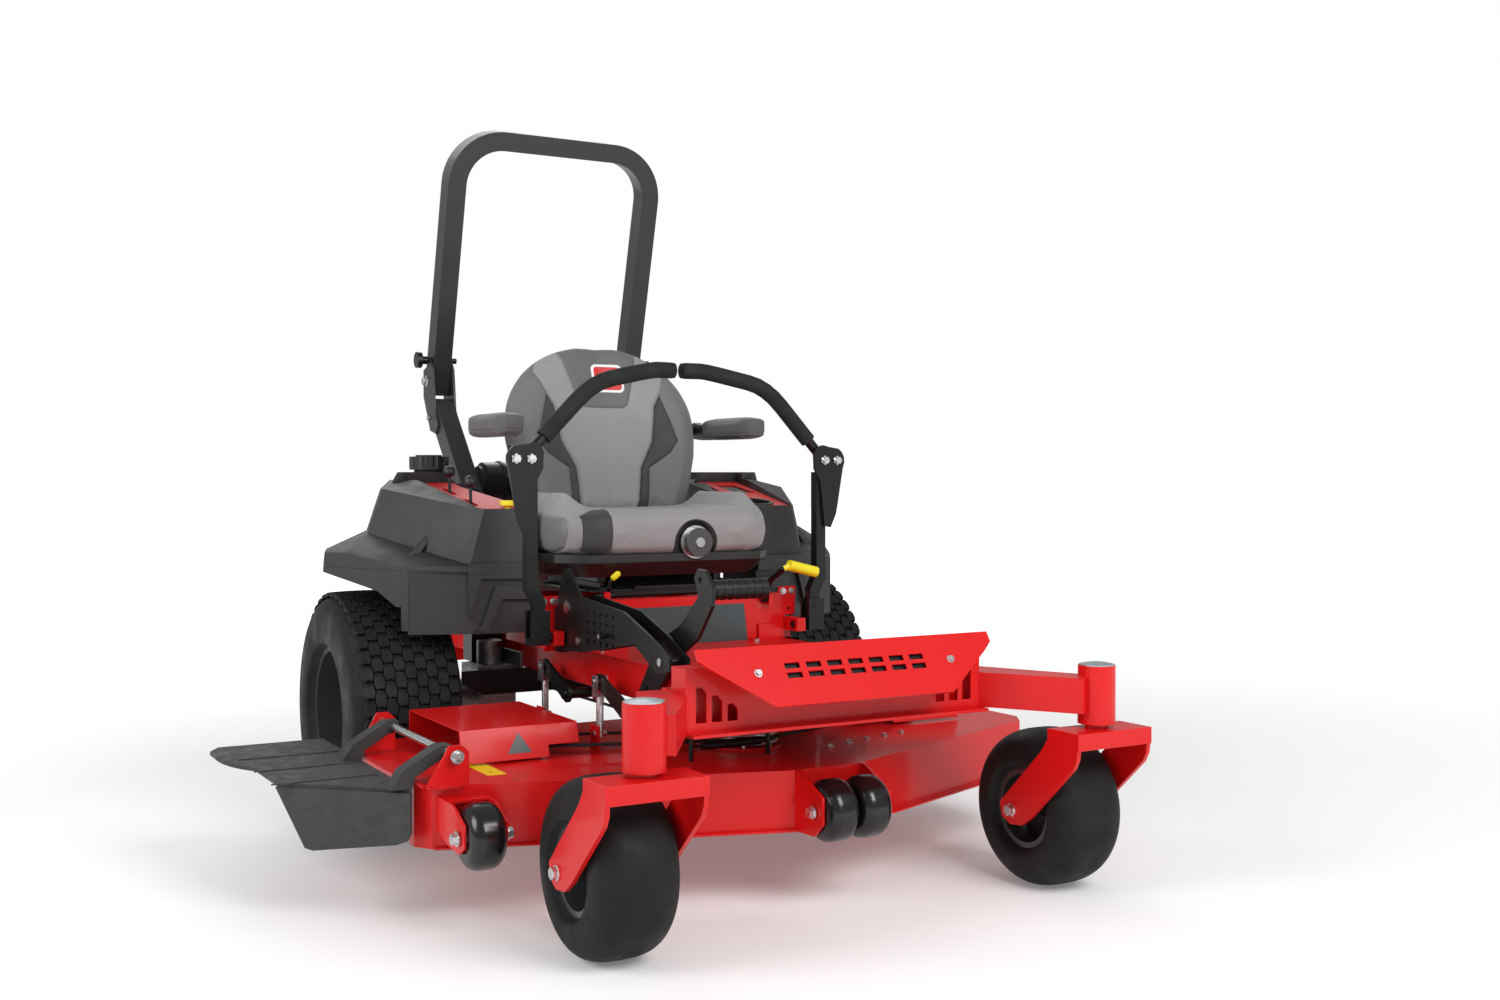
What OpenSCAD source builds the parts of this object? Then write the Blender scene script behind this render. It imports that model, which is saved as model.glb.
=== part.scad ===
// Zero-turn riding lawn mower with a folding roll bar, floating cutting deck and lap-bar steering.
// Working frame while drawing: +Z up, ground at z = 0, the machine faces -Y, the operator's
// right hand is -X, and x = 0 is the centreline of the chassis. placed() then moves everything
// so that the origin is under the middle of the bounding box.

/* [Chassis] */
// Distance from the centreline to each main rail's inner face
rail_in = 180; // [170:1:185]
// Width of a main rail
rail_w = 50; // [45:1:50]
// Height of the main rails' underside above the ground
rail_z = 385; // [380:1:390]
// Height of a main rail
rail_h = 75; // [70:1:75]
// Y of the rear face of the engine guard
guard_y = 1600; // [1590:1:1620]

/* [Casters] */
// Distance from the centreline to a caster's pivot
caster_x = 512; // [508:1:516]
// Y of the caster pivots
caster_y = -467; // [-470:1:-465]
// How far the caster wheel trails its pivot
caster_trail = 149; // [140:1:155]
// Outer diameter of a caster tyre
caster_d = 330; // [320:1:332]
// Width of a caster tyre
caster_w = 165; // [155:1:166]

/* [Drive wheels] */
// Outer diameter of a drive tyre
drive_d = 584; // [570:1:586]
// Width of a drive tyre
drive_w = 267; // [250:1:267]
// Distance from the centreline to the middle of a drive tyre
drive_x = 571.5; // [570:0.5:575]
// Y of the drive axle
drive_y = 895; // [890:1:900]

/* [Cutting deck] */
// Height of the deck's top sheet in the transport position
deck_top = 270; // [268:1:272]
// Height of the deck skirt's lower edge in the transport position
deck_low = 148; // [145:1:155]
// X of the deck's left edge
deck_left = 800; // [795:1:805]
// X of the deck's right edge
deck_right = -748; // [-750:1:-745]
// Sideways offset of the deck's middle from the chassis centreline
deck_mid = 19; // [18:1:20]
// Sideways distance between neighbouring spindles
spindle_gap = 495; // [490:1:500]
// Radius of the circle that a blade tip cuts
blade_r = 255; // [245:1:256]
// X of the discharge chute's outer edge
chute_x = -1016; // [-1020:1:-1000]

/* [Roll bar] */
// Overall width of the roll bar
rops_w = 620; // [610:1:620]
// Width of the roll bar's tube
rops_tube = 51; // [50:1:51]
// Fore and aft depth of the roll bar's tube
rops_deep = 60; // [55:1:60]
// Forward lean of the folding hoop in degrees
rops_lean = 15; // [14:0.5:16]
// Length of the hoop above its hinge
rops_len = 690; // [680:1:700]

/* [Operator station] */
// Height of the seat cushion's front edge
cushion_z = 782; // [775:1:785]
// Width of the seat cushion
cushion_w = 580; // [560:1:584]
// Diameter of a steering lever's foam grip
grip_d = 38; // [34:1:40]

/* [Hidden] */
$fn = 64;

fork_front_y = caster_y - 56;
shift_x = -(deck_left + chute_x) / 2;
shift_y = -(fork_front_y + guard_y) / 2;

rail_top = rail_z + rail_h;
rail_mid_x = rail_in + rail_w / 2;
wheel_z = caster_d / 2;
wheel_y = caster_y + caster_trail;
axle_z = drive_d / 2;
side_y = 300;
centre_y = 120;
pulley_z = 292;
pulley_r = 75;
pto_r = 70;
pto_y = 1270;
run = 0.05;
deck_drop = 100;
hinge_y = 1290;
hinge_z = 1122;
pin_rise = 58;
lift_r = 140;
lift_z = 368;
front_shaft_y = 100;
rear_shaft_y = 409;
lift_reach = sqrt(lift_r * lift_r - deck_drop * deck_drop / 4);
lift_rods = [for (y = [front_shaft_y, rear_shaft_y], s = [-1, 1]) [s * 278, y + lift_reach]];
lift_pin_z = lift_z + deck_drop / 2;
chute_hinge_x = -690;
chute_hinge_z = 330;
cap_at = [-392, 1042];
pod_in = 298;
red = "#c8101a";
black = "#26282a";
charcoal = "#3d4042";
zinc = "#c9cdd0";

// ---- helpers ----

module placed() translate([shift_x, shift_y, 0]) children();

// Draws its children for the left side (+1) or mirrored for the right side (-1)
module side(s) {
    if (s < 0) mirror([1, 0, 0]) children();
    else children();
}

module both() {
    children();
    mirror([1, 0, 0]) children();
}

// A plate with an outline in (y, z), from x0 to x0 + t
module plate_yz(pts, x0, t) translate([x0, 0, 0]) rotate([90, 0, 90]) linear_extrude(t) polygon(pts);

// A plate with an outline in (x, z), from y0 to y0 + t
module plate_xz(pts, y0, t) translate([0, y0 + t, 0]) rotate([90, 0, 0]) linear_extrude(t) polygon(pts);

// A plate with an outline in (x, y), from z0 to z0 + t
module plate_xy(pts, z0, t) translate([0, 0, z0]) linear_extrude(t) polygon(pts);

module rod_x(p, r, l) translate(p) rotate([0, 90, 0]) cylinder(r = r, h = l);

module rod_y(p, r, l) translate(p) rotate([-90, 0, 0]) cylinder(r = r, h = l);

module rod_z(p, r, l) translate(p) cylinder(r = r, h = l);

module box(a, b) translate(a) cube(b - a);

module ring(r_out, r_in, h) difference() {
    cylinder(r = r_out, h = h);
    translate([0, 0, -1]) cylinder(r = r_in, h = h + 2);
}

// A straight round bar between two points
module bar(a, b, r) {
    v = b - a;
    l = norm(v);
    translate(a) rotate([0, acos(v[2] / l), atan2(v[1], v[0])]) cylinder(r = r, h = l);
}

// A bent round tube through a list of points, with a slightly fuller ball at each bend
module bent(pts, r) {
    for (i = [0 : len(pts) - 2]) bar(pts[i], pts[i + 1], r);
    for (i = [1 : len(pts) - 2]) translate(pts[i]) sphere(r = r * 1.02);
}

// Smooth route through a list of points: every inner corner becomes a short curve
function on_curve(a, b, c, t) = let (p = b + (a - b) * 0.28, q = b + (c - b) * 0.28)
    (1 - t) * (1 - t) * p + 2 * t * (1 - t) * b + t * t * q;
function smooth(pts) = concat([pts[0]],
    [for (i = [1 : len(pts) - 2], k = [0 : 4]) on_curve(pts[i - 1], pts[i], pts[i + 1], k / 4)],
    [pts[len(pts) - 1]]);
function unit(v) = v / norm(v);
function heading(p, i) = unit(p[min(i + 1, len(p) - 1)] - p[max(i - 1, 0)]);
function rings(p, r, n, ref) = [for (i = [0 : len(p) - 1])
    let (t = heading(p, i), u = unit(cross(ref, t)), v = cross(t, u))
    for (j = [0 : n - 1]) p[i] + r * (cos(360 * j / n) * u + sin(360 * j / n) * v)];

// A tube swept along a route, solid or with a bore; ref is any direction across the route
module swept(p, r, r_in = 0, ref = [0, 1, 0], n = 20) {
    m = len(p);
    o = m * n;
    outer = [for (i = [0 : m - 2], j = [0 : n - 1]) let (k = (j + 1) % n)
        [i * n + j, (i + 1) * n + j, (i + 1) * n + k, i * n + k]];
    inner = [for (i = [0 : m - 2], j = [0 : n - 1]) let (k = (j + 1) % n)
        [o + i * n + j, o + i * n + k, o + (i + 1) * n + k, o + (i + 1) * n + j]];
    ends = [for (j = [0 : n - 1], e = [0, 1]) let (k = (j + 1) % n, b = e * (m - 1) * n)
        e == 0 ? [b + j, b + k, o + b + k, o + b + j] : [b + k, b + j, o + b + j, o + b + k]];
    caps = [[for (j = [0 : n - 1]) j], [for (j = [n - 1 : -1 : 0]) (m - 1) * n + j]];
    polyhedron(points = r_in > 0 ? concat(rings(p, r, n, ref), rings(p, r_in, n, ref)) : rings(p, r, n, ref),
        faces = r_in > 0 ? concat(outer, inner, ends) : concat(outer, caps));
}

function arc(c, r, a0, a1, n) =
    [for (i = [0 : n]) c + r * [cos(a0 + (a1 - a0) * i / n), sin(a0 + (a1 - a0) * i / n)]];

// Hexagonal bolt head or nut with a washer, standing on the xy plane
module hex_bolt(r, shank = 0) {
    cylinder(r = r * 1.35, h = 2);
    translate([0, 0, 2]) cylinder(r = r, h = r * 0.9, $fn = 6);
    if (shank > 0) translate([0, 0, -shank]) cylinder(r = r * 0.55, h = shank);
}

module bolt_at(p, turn, r, shank = 0) translate(p) rotate(turn) hex_bolt(r, shank);

// Cross-section of a hollow tyre in (radius, width)
module tyre_section(r, r_in, hw, bead, shoulder, wall) difference() {
    polygon(concat([[r_in, -bead], [r_in + 14, -bead], [r_in + 22, -hw + 3]],
        arc([r - shoulder, -hw + shoulder], shoulder, 270, 360, 6),
        arc([r - shoulder, hw - shoulder], shoulder, 0, 90, 6),
        [[r_in + 22, hw - 3], [r_in + 14, bead], [r_in, bead]]));
    polygon([[r_in - 1, -bead + wall], [r_in + 16, -bead + wall], [r_in + 26, -hw + wall + 3],
        [r - shoulder, -hw + wall],
        [r - wall, -hw + shoulder], [r - wall, hw - shoulder], [r - shoulder, hw - wall],
        [r_in + 26, hw - wall - 3], [r_in + 16, bead - wall], [r_in - 1, bead - wall]]);
}

// ---- chassis ----

module rail() difference() {
    box([rail_in, -200, rail_z], [rail_in + rail_w, 1480, rail_top]);
    box([rail_in + 4, -201, rail_z + 4], [rail_in + rail_w - 4, 1481, rail_top - 4]);
}

module frame_rails() placed() color(red) {
    both() rail();
    both() for (y = [front_shaft_y, rear_shaft_y])
        lug([195, y - 20, lift_z - 20], [207, y + 20, rail_z], [194, y, lift_z], 12 + run);
    box([-rail_in, 560, rail_z + 15], [rail_in, 610, rail_top]);
    difference() {
        box([-rail_in, 1060, rail_z + 15], [rail_in, 1480, rail_z + 23]);
        rod_z([0, pto_y, rail_z], 90, 60);
    }
    box([-356, 1480, rail_z - 60], [356, 1488, rail_top + 20]);
}

// One front arm with its caster barrel, drawn for the left side
module front_arm() difference() {
    union() {
        translate([caster_x, caster_y, 360]) cylinder(r = 38, h = 119);
        plate_xy([[318, -200], [318, -262], [460, -486], [520, -450], [398, -200]], 384, 72);
    }
    translate([caster_x, caster_y, 359]) cylinder(r = 26, h = 121);
}

module front_axle() placed() color(red) difference() {
    union() {
        both() front_arm();
        box([-344, -298, rail_z], [344, -292, 505]);
        box([-344, -330, rail_z - 6], [344, -200, rail_z]);
        box([-344, -292, 499], [344, -240, 505]);
        box([-344, -250, rail_z], [344, -200, rail_top]);
        both() box([338, -292, rail_z], [344, -240, 499]);
    }
    both() for (i = [0 : 2])
        plate_xz([[322 - 34 * i, 402], [322 - 34 * i, 470 - 18 * i], [310 - 34 * i, 470 - 18 * i],
            [300 - 34 * i, 458 - 18 * i], [300 - 34 * i, 402]], -299, 8);
}

// Frame of the sloped front plate: x across, y up the slope, z out of its front face
module on_slope() translate([0, -392, 435]) rotate([56.5, 0, 0]) children();

module front_plate() placed() {
    color(red) slotted_plate();
    color(black) slot_backing();
}

module slotted_plate() {
    on_slope() linear_extrude(5) difference() {
        polygon([[-205, 0], [205, 0], [322, 88], [340, 104], [340, 127], [-340, 127],
            [-340, 104], [-322, 88]]);
        for (i = [-3 : 3]) translate([i * 48, 62]) {
            square([34, 12], center = true);
            translate([0, 20]) square([34, 12], center = true);
        }
        both() translate([223, 70]) circle(r = 5);
    }
}

// Dark plate close behind the slots of the front plate
module slot_backing() on_slope() translate([-190, 34, -6]) cube([380, 76, 2]);

module floor_pan() placed() color(red) {
    box([-232, -198, rail_top + 0.5], [305, 420, rail_top + 4]);
    box([232, 418, rail_top + 4], [305, 422, 500]);
}

module seat_tower() placed() color(red) {
    difference() {
        plate_xz([[-330, rail_top + 5], [330, rail_top + 5], [310, 520], [340, 520], [340, 590],
            [292, 590], [292, 575], [-292, 575], [-292, 590], [-340, 590], [-340, 545],
            [-310, 500]], 426, 4);
        both() rod_y([322, 420, 535], 4, 12);
    }
    both() {
        box([286, 430, rail_top + 0.5], [290, 760, 575]);
        box([rail_in, 430, rail_top], [rail_in + rail_w, 436, 575]);
    }
    box([-290, 430, 571], [290, 474, 575]);
    box([-290, 752, rail_top + 0.5], [290, 756, 575]);
    both() {
        lug([150, 452, 575], [165, 474, 591], [149, 463, 583], 6 + run);
        box([290, 600, 530], [pod_in - 0.3, 690, 560]);
        lug([306, 360, 484], [330, 426, 516], [305, lever_y, lever_hinge_z], 10);
    }
    lug([252, 402, 548], [264, 426, 572], [251, 413, 560], 6 + run);
}

// Block with a cross bore that a hinge rod turns in
module lug(a, b, bore_at, r) difference() {
    box(a, b);
    rod_x(bore_at, r, b[0] - a[0] + 2);
}

// One moulded fender pod, drawn for the left side
module fender_pod() {
    plate_xy([[pod_in, 546], [450, 575], [578, 633], [572, 646], [430, 646], [430, 720],
        [pod_in, 720]], 497, 149);
    pod_ledge();
    pod_skirt();
    pod_block();
    hull() {
        plate_xy([[352, 982], [486, 978], [566, 950], [545, 1040], [526, 1090], [352, 1108]], 752, 2);
        plate_xy([[360, 990], [498, 915], [512, 920], [488, 1000], [462, 1085], [360, 1098]], 868, 4);
    }
    front_bands();
}

module pod_ledge() hull() {
    plate_xy([[pod_in, 533], [460, 563], [578, 634], [706, 885], [660, 1050], [630, 1112],
        [352, 1112], [352, 740], [pod_in, 640]], 642, 12);
    plate_xy([[352, 820], [672, 822], [703, 885], [656, 1050], [628, 1108], [352, 1108]], 677, 3);
    plate_xy([[352, 860], [608, 850], [594, 905], [552, 1060], [352, 1100]], 722, 2);
}

// Outer skirt that drops from the ledge ahead of the tyre
module pod_skirt() {
    plate_xy([[560, 636], [578, 632], [588, 652], [572, 662]], 505, 140);
    hull() {
        plate_xy([[572, 650], [588, 650], [596, 666], [578, 672]], 560, 84);
        plate_xy([[604, 712], [620, 710], [624, 718], [608, 722]], 594, 50);
    }
    hull() {
        plate_xy([[604, 712], [620, 710], [624, 718], [608, 722]], 594, 50);
        plate_xy([[690, 880], [706, 880], [706, 888], [690, 888]], 632, 12);
    }
}

module pod_block() {
    hull() {
        plate_xy([[pod_in, 545], [450, 573], [480, 640], [pod_in, 640]], 650, 4);
        plate_xy([[352, 860], [608, 850], [594, 905], [551, 1058], [352, 1092]], 724, 2);
        plate_xy([[352, 880], [566, 868], [556, 920], [516, 1050], [352, 1080]], 829, 2);
        plate_xy([[pod_in, 558], [416, 568], [430, 582], [434, 604], [pod_in, 604]], 784, 2);
        plate_xy([[352, 900], [488, 896], [498, 990], [490, 1060], [352, 1070]], 850, 2);
    }
    // raised wedge on the ledge
    hull() {
        plate_xy([[541, 686], [566, 688], [560, 712], [530, 706]], 668, 1);
        plate_xy([[498, 690], [508, 694], [506, 706], [490, 704]], 727, 1);
    }
}

// Raised bands of the stepped panel low on the pod's front
module front_bands() translate([pod_in, 533, 0]) rotate([0, 0, 10.6]) {
    plate_xz([[0, 624], [132, 625], [160, 530], [163, 661], [0, 661]], 0, 20);
    plate_xz([[0, 575], [84, 578], [117, 502], [146, 508], [132, 516], [99, 608], [0, 606]], 0, 20);
}

// Plane of the console, sloping up to the rear
module on_console() translate([0, 600, 783]) rotate([9, 0, 0]) translate([0, -600, 0]) children();

module pod_space() {
    // tray that the console sits in
    on_console() translate([0, 0, -0.5]) linear_extrude(120) polygon([[pod_in - 8, 564], [412, 571],
        [424, 584], [427, 604], [480, 978], [344, 978], [344, 904], [pod_in - 8, 644]]);
}

// Hollows inside the moulding, open downwards
module pod_hollow() {
    plate_xy([[314, 564], [446, 590], [545, 634], [420, 634], [416, 706], [314, 706]], 490, 144);
    plate_xy([[314, 640], [420, 640], [430, 660], [520, 900], [530, 1000], [520, 1050], [372, 1060],
        [372, 900], [314, 800]], 630, 105);
}

module fenders() placed() color(charcoal) {
    difference() {
        fender_pod();
        pod_space();
        pod_hollow();
        at_cup() translate([0, 0, -6]) cylinder(r = 46, h = 84);
    }
    mirror([1, 0, 0]) {
        difference() {
            fender_pod();
            pod_space();
            pod_hollow();
            rod_z([-cap_at[0], cap_at[1], 770], 30, 150);
            for (p = [[410, 676], [408, 828]]) box([p[0] - 12, p[1] - 45, 725], [p[0] + 12, p[1] + 45, 860]);
            rod_z([347, 600, 730], 14, 70);
        }
        translate([-cap_at[0], cap_at[1], 800]) ring(38, 30.5, 86);
    }
}

// One console plate, drawn for the left side: a sloped red sheet with openings
module console_outline() polygon([[pod_in + 4, 566], [410, 573], [422, 586], [425, 606], [476, 970],
    [356, 970], [356, 902], [pod_in + 4, 642]]);

module console_panels() placed() color(red) {
    mirror([1, 0, 0]) on_console() linear_extrude(4) difference() {
        console_outline();
        translate([410, 681]) square([12, 90], center = true);
        translate([409, 836]) square([12, 90], center = true);
        translate([347, 600]) circle(r = 9.2);
    }
    on_console() linear_extrude(4) difference() {
        console_outline();
        translate([350, 645]) circle(r = 44);
        translate([405, 850]) square([60, 130], center = true);
    }
    cup_holder();
}

// Centre of the cup holder's floor, its axis square to the console
module at_cup() on_console() translate([350, 645, -70]) children();

// Cup holder hung in the left console's round opening
module cup_holder() at_cup() {
    difference() {
        cylinder(r = 43.5, h = 74);
        translate([0, 0, 4]) cylinder(r = 40, h = 90);
    }
    translate([0, 0, 73.9]) ring(50, 40, 3);
}

// One roll-bar leg with its hinge bracket, drawn for the left side
leg_x = rops_w / 2 - rops_tube;

module rops_leg() {
    plate_yz([[952, rail_z], [1016, rail_z], [1016, 745], [1288, 1034], [1288, 1072], [1242, 1072],
        [952, 764]], leg_x, rops_tube);
    box([rail_in + rail_w, 952, rail_z], [leg_x, 1016, rail_top]);
    for (x = [leg_x - 6, leg_x + rops_tube]) difference() {
        plate_yz([[1216, 975], [1262, 985], [1318, 1080], [1318, 1172], [1290, 1190], [1268, 1190],
            [1240, 1150], [1226, 1040], [1196, 1000]], x, 6);
        rod_x([x - 1, hinge_y, hinge_z], 8, 8);
        lock_notch(x - 1, 8);
    }
}

// The lock pin's place in the bracket plate, open to the rear
module lock_notch(x, t) plate_yz([[hinge_y - 24, 1168], [1330, 1150], [1330, 1200], [hinge_y - 24, 1192]],
    x, t);

module rops_base() placed() color(black) both() rops_leg();

// ---- power train ----

module cylinder_head(a) rotate([0, 0, a]) translate([0, 0, 0]) {
    box([-55, 90, 520], [55, 205, 620]);
    for (i = [0 : 6]) box([-64, 108 + i * 13, 508], [64, 112 + i * 13, 632]);
    box([-58, 201, 514], [58, 215, 626]);
}

module engine_block() placed() color("#55585a") translate([0, pto_y, 0]) {
    difference() {
        union() {
            rod_z([0, 0, rail_z + 23], 125, 12);
            rod_z([0, 0, rail_z + 35], 110, 215);
            cylinder_head(42);
            cylinder_head(-42);
        }
        rod_z([0, 0, rail_z], 14.3 + run, 120);
    }
    translate([-150, -20, 470]) rotate([0, 90, 0]) cylinder(r = 38, h = 60);
}

module engine_shroud() placed() color("#2b2d2f") translate([0, pto_y, 0]) {
    difference() {
        union() {
            rod_z([0, 0, 638], 178, 96);
            rod_z([0, 0, 734], 150, 26);
            for (a = [-42, 42]) rotate([0, 0, a]) box([-76, 60, 638], [76, 225, 700]);
        }
        rod_z([0, 0, 637], 172, 90);
        for (a = [-42, 42]) rotate([0, 0, a]) box([-70, 60, 637], [70, 219, 692]);
        for (r = [40 : 22 : 128]) translate([0, 0, 745]) ring(r + 12, r, 20);
        rod_z([0, 0, 725], 134, 20);
    }
    rod_z([0, 0, 740], 34, 28);
    for (a = [0 : 45 : 315]) rotate([0, 0, a]) box([30, -3, 745], [140, 3, 760]);
}

module air_cleaner() placed() color("#1f2123") {
    rod_x([-240, 1066, 838], 60, 204);
    rod_x([-252, 1066, 838], 50, 14);
    rod_x([-196, 1066, 838], 64, 8);
    rod_x([-70, 1066, 838], 64, 10);
    swept(smooth([[-50, 1066, 838], [0, 1066, 838], [60, 1090, 834], [70, 1190, 822],
        [70, 1196, 790], [70, 1196, 761]]), 28, 0, [1, -0.6, 0]);
    box([-180, 1100, 760.5], [-150, 1116, 815]);
}

module muffler() placed() color("#6d6a66") {
    rod_x([-190, 1534, 562], 40, 380);
    both() bar([110, 1478, 570], [110, 1530, 570], 13);
    bent([[-120, 1534, 540], [-120, 1534, 470], [-150, 1540, 430]], 15);
}

module engine_guard() placed() color(black) {
    both() {
        bent([[338, 1488, 420], [338, guard_y - 20, 420], [338, guard_y - 20, 640],
            [300, guard_y - 20, 690], [0, guard_y - 20, 690]], 20);
        bar([338, 1500, 640], [338, guard_y - 20, 640], 20);
    }
    bar([-338, guard_y - 20, 520], [338, guard_y - 20, 520], 16);
    difference() {
        box([-36, 1488, rail_z - 55], [36, guard_y - 30, rail_z - 47]);
        rod_z([0, 1545, rail_z - 60], 10, 20);
    }
}

module hydro_drives() placed() color("#77797b") both() difference() {
    union() {
        box([rail_in + rail_w, 850, 225], [330, 975, 384]);
        rod_x([330, drive_y, axle_z], 58, 70);
        rod_x([400, drive_y, axle_z], 36, 40);
        rod_z([280, 905, 384], 32, 60);
        for (i = [0 : 3]) box([240, 850 - 6, 240 + i * 34], [320, 975 + 6, 250 + i * 34]);
        box([rail_in + rail_w, 800, 330], [rail_in + rail_w + 8, 945, 420]);
    }
    rod_x([rail_in + rail_w + 20, drive_y, axle_z], 18 + run, 300);
}

// Engine crank, electric clutch and drive pulley, turning under the engine
module pto_clutch() placed() color("#8b8f92") translate([0, pto_y, 0]) {
    rod_z([0, 0, pulley_z - 24], 14.3, 200);
    rod_z([0, 0, pulley_z + 22], 66, 46);
    grooved_pulley(pto_r, 14.3);
}

// V-belt pulley centred on the belt's height, with its groove cut by a revolved wedge
module grooved_pulley(r, r_hub) difference() {
    translate([0, 0, pulley_z - 12]) ring(r, r_hub, 24);
    translate([0, 0, pulley_z]) rotate_extrude()
        polygon([[r - 12, -4], [r + 1, -7], [r + 1, 7], [r - 12, 4]]);
}

// ---- small fixed hardware ----

module frame_hardware() placed() color(zinc) {
    both() {
        for (z = [360.5, 455]) translate([caster_x, caster_y, z]) ring(26, 15, 14);
        barrel_cap();
        bolt_at([305, 426, 578], [90, 0, 0], 6);
        bolt_at([328, 426, 578], [90, 0, 0], 6);
        on_slope() translate([223, 70, 5]) hex_bolt(6, 62);
        for (y = [-180, 100, 380]) bolt_at([rail_mid_x, y, rail_top + 4], [0, 0, 0], 5);
        for (x = [leg_x - 14, leg_x + rops_tube + 6]) rod_x([x, 1262, 1020], 7, 8);
        rod_x([leg_x - 10, hinge_y, hinge_z], 8 - run, rops_tube + 20);
        bolt_at([leg_x + rops_tube + 6, hinge_y, hinge_z], [0, 90, 0], 11);
        bolt_at([rail_mid_x, 1040, rail_top], [0, 0, 0], 7);
    }
}

// Domed cap pressed into the top of a caster barrel
module barrel_cap() translate([caster_x, caster_y, 470]) {
    cylinder(r = 26, h = 9);
    translate([0, 0, 9]) cylinder(r = 36, h = 2);
    intersection() {
        translate([0, 0, 11]) cylinder(r = 36, h = 10);
        translate([0, 0, -110]) sphere(r = 126);
    }
}

// Pair of black plates with the grid of cutting-height holes, its pin, and the guard plate above
module height_plates() placed() color(black) {
    for (x = [-302, -262]) difference() {
        plate_yz([[424, 560], [412, 572], [412, 586], [300, 600], [60, 582], [-70, 540],
            [-150, 505], [-150, 482], [-96, 470],
            [10, 520], [250, 480], [424, 470]], x, 6);
        for (i = [0 : 4], j = [0 : 3]) rod_x([x - 1, 110 + i * 32, 505 + j * 20], 5.5, 8);
    }
    box([-262, 380, rail_top + 4.5], [-236, 424, 560]);
    box([-302, 400, rail_top + 4.5], [-256, 424, 480]);
    difference() {
        plate_yz([[276, 596], [412, 582], [372, 652], [352, 658], [334, 648]], -302, 6);
        rod_x([-303, 352, 625], 4, 8);
    }
    for (p = [[352, 570, 13], [292, 500, 8], [-110, 496, 8], [404, 500, 9]])
        rod_x([-305.5, p[0], p[1]], p[2], 55);
    rod_x([-322, 142, 525], 5.4, 70);
}

// ---- casters ----

// Fork with its stem and axle bolt, drawn for the left side
module caster_fork() translate([caster_x, 0, 0]) {
    difference() {
        union() {
            box([-98, fork_front_y, 345], [98, -430, 352]);
            box([-98, fork_front_y, 318], [98, fork_front_y + 7, 345]);
            both() plate_yz([[fork_front_y, 345], [-518, 300], [-508, 280], [-380, 160], [-350, 138],
                [-312, 134], [-286, 148], [-280, 177], [-410, 302], [-430, 330], [-430, 345]], 88, 10);
        }
        rod_x([-110, wheel_y, wheel_z], 9, 220);
    }
    rod_z([0, caster_y, 352], 15 - run, 112);
    rod_z([0, caster_y, 352], 24, 7.6);
    rod_x([-98, wheel_y, wheel_z], 9, 196);
    bolt_at([98, wheel_y, wheel_z], [0, 90, 0], 12);
    bolt_at([-98, wheel_y, wheel_z], [0, -90, 0], 12);
}

module caster_fork_right() placed() color(red) side(-1) caster_fork();
module caster_fork_left() placed() color(red) side(1) caster_fork();

module at_caster(s) side(s) translate([caster_x, wheel_y, wheel_z]) rotate([0, 90, 0]) children();

module caster_rim() {
    translate([0, 0, -66]) ring(76, 71, 132);
    for (z = [-66, 62]) translate([0, 0, z]) ring(86, 71, 4);
    difference() {
        translate([0, 0, -3]) ring(71, 20, 6);
        for (a = [0 : 60 : 300]) rotate([0, 0, a]) translate([46, 0, -4]) cylinder(r = 12, h = 8);
    }
    translate([0, 0, -82]) ring(22, 9 + run, 164);
}

module caster_rim_right() placed() color("#4b4e50") at_caster(-1) caster_rim();
module caster_rim_left() placed() color("#4b4e50") at_caster(1) caster_rim();

module caster_tyre() rotate_extrude() tyre_section(caster_d / 2, 76.3, caster_w / 2, 61.7, 42, 11);

module caster_tyre_right() placed() color("#1b1c1d") at_caster(-1) caster_tyre();
module caster_tyre_left() placed() color("#1b1c1d") at_caster(1) caster_tyre();

// ---- drive wheels ----

module at_drive(s) side(s) translate([drive_x, drive_y, axle_z]) rotate([0, 90, 0]) children();

module drive_rim() {
    translate([0, 0, -112]) ring(152, 147, 224);
    for (z = [-112, 107]) translate([0, 0, z]) ring(165, 147, 5);
    difference() {
        union() {
            translate([0, 0, 10]) ring(147, 96, 6);
            translate([0, 0, -40]) ring(102, 96, 56);
            translate([0, 0, -40]) ring(96, 30, 8);
        }
        for (a = [0 : 72 : 288]) rotate([0, 0, a + 36]) translate([122, 0, 5]) cylinder(r = 11, h = 20);
    }
    translate([0, 0, -60]) cylinder(r = 55, h = 20);
    translate([0, 0, -317]) cylinder(r = 18, h = 290);
    for (a = [0 : 72 : 288]) rotate([0, 0, a]) translate([57, 0, -32]) hex_bolt(11);
}

module drive_rim_right() placed() color("#4b4e50") at_drive(-1) drive_rim();
module drive_rim_left() placed() color("#4b4e50") at_drive(1) drive_rim();

module drive_tyre() rotate_extrude() tyre_section(drive_d / 2, 152.3, drive_w / 2, 106.7, 34, 14);

module drive_tyre_right() placed() color("#1b1c1d") at_drive(-1) drive_tyre();
module drive_tyre_left() placed() color("#1b1c1d") at_drive(1) drive_tyre();

// ---- steering levers ----

lever_pivot_z = 545;
lever_hinge_z = 500;
lever_y = 380;

// Cross shaft and yoke that the lever swings fore and aft with
module lever_yoke() {
    rod_x([304, lever_y, lever_hinge_z], 10 - run, 40);
    difference() {
        box([340, lever_y - 20, 486], [384, lever_y + 20, lever_pivot_z + 18]);
        box([339, lever_y - 14, 502], [385, lever_y + 14, lever_pivot_z + 19]);
        rod_y([361, lever_y - 21, lever_pivot_z], 6, 42);
    }
}

module lever_yoke_right() placed() color(black) side(-1) lever_yoke();
module lever_yoke_left() placed() color(black) side(1) lever_yoke();

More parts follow.
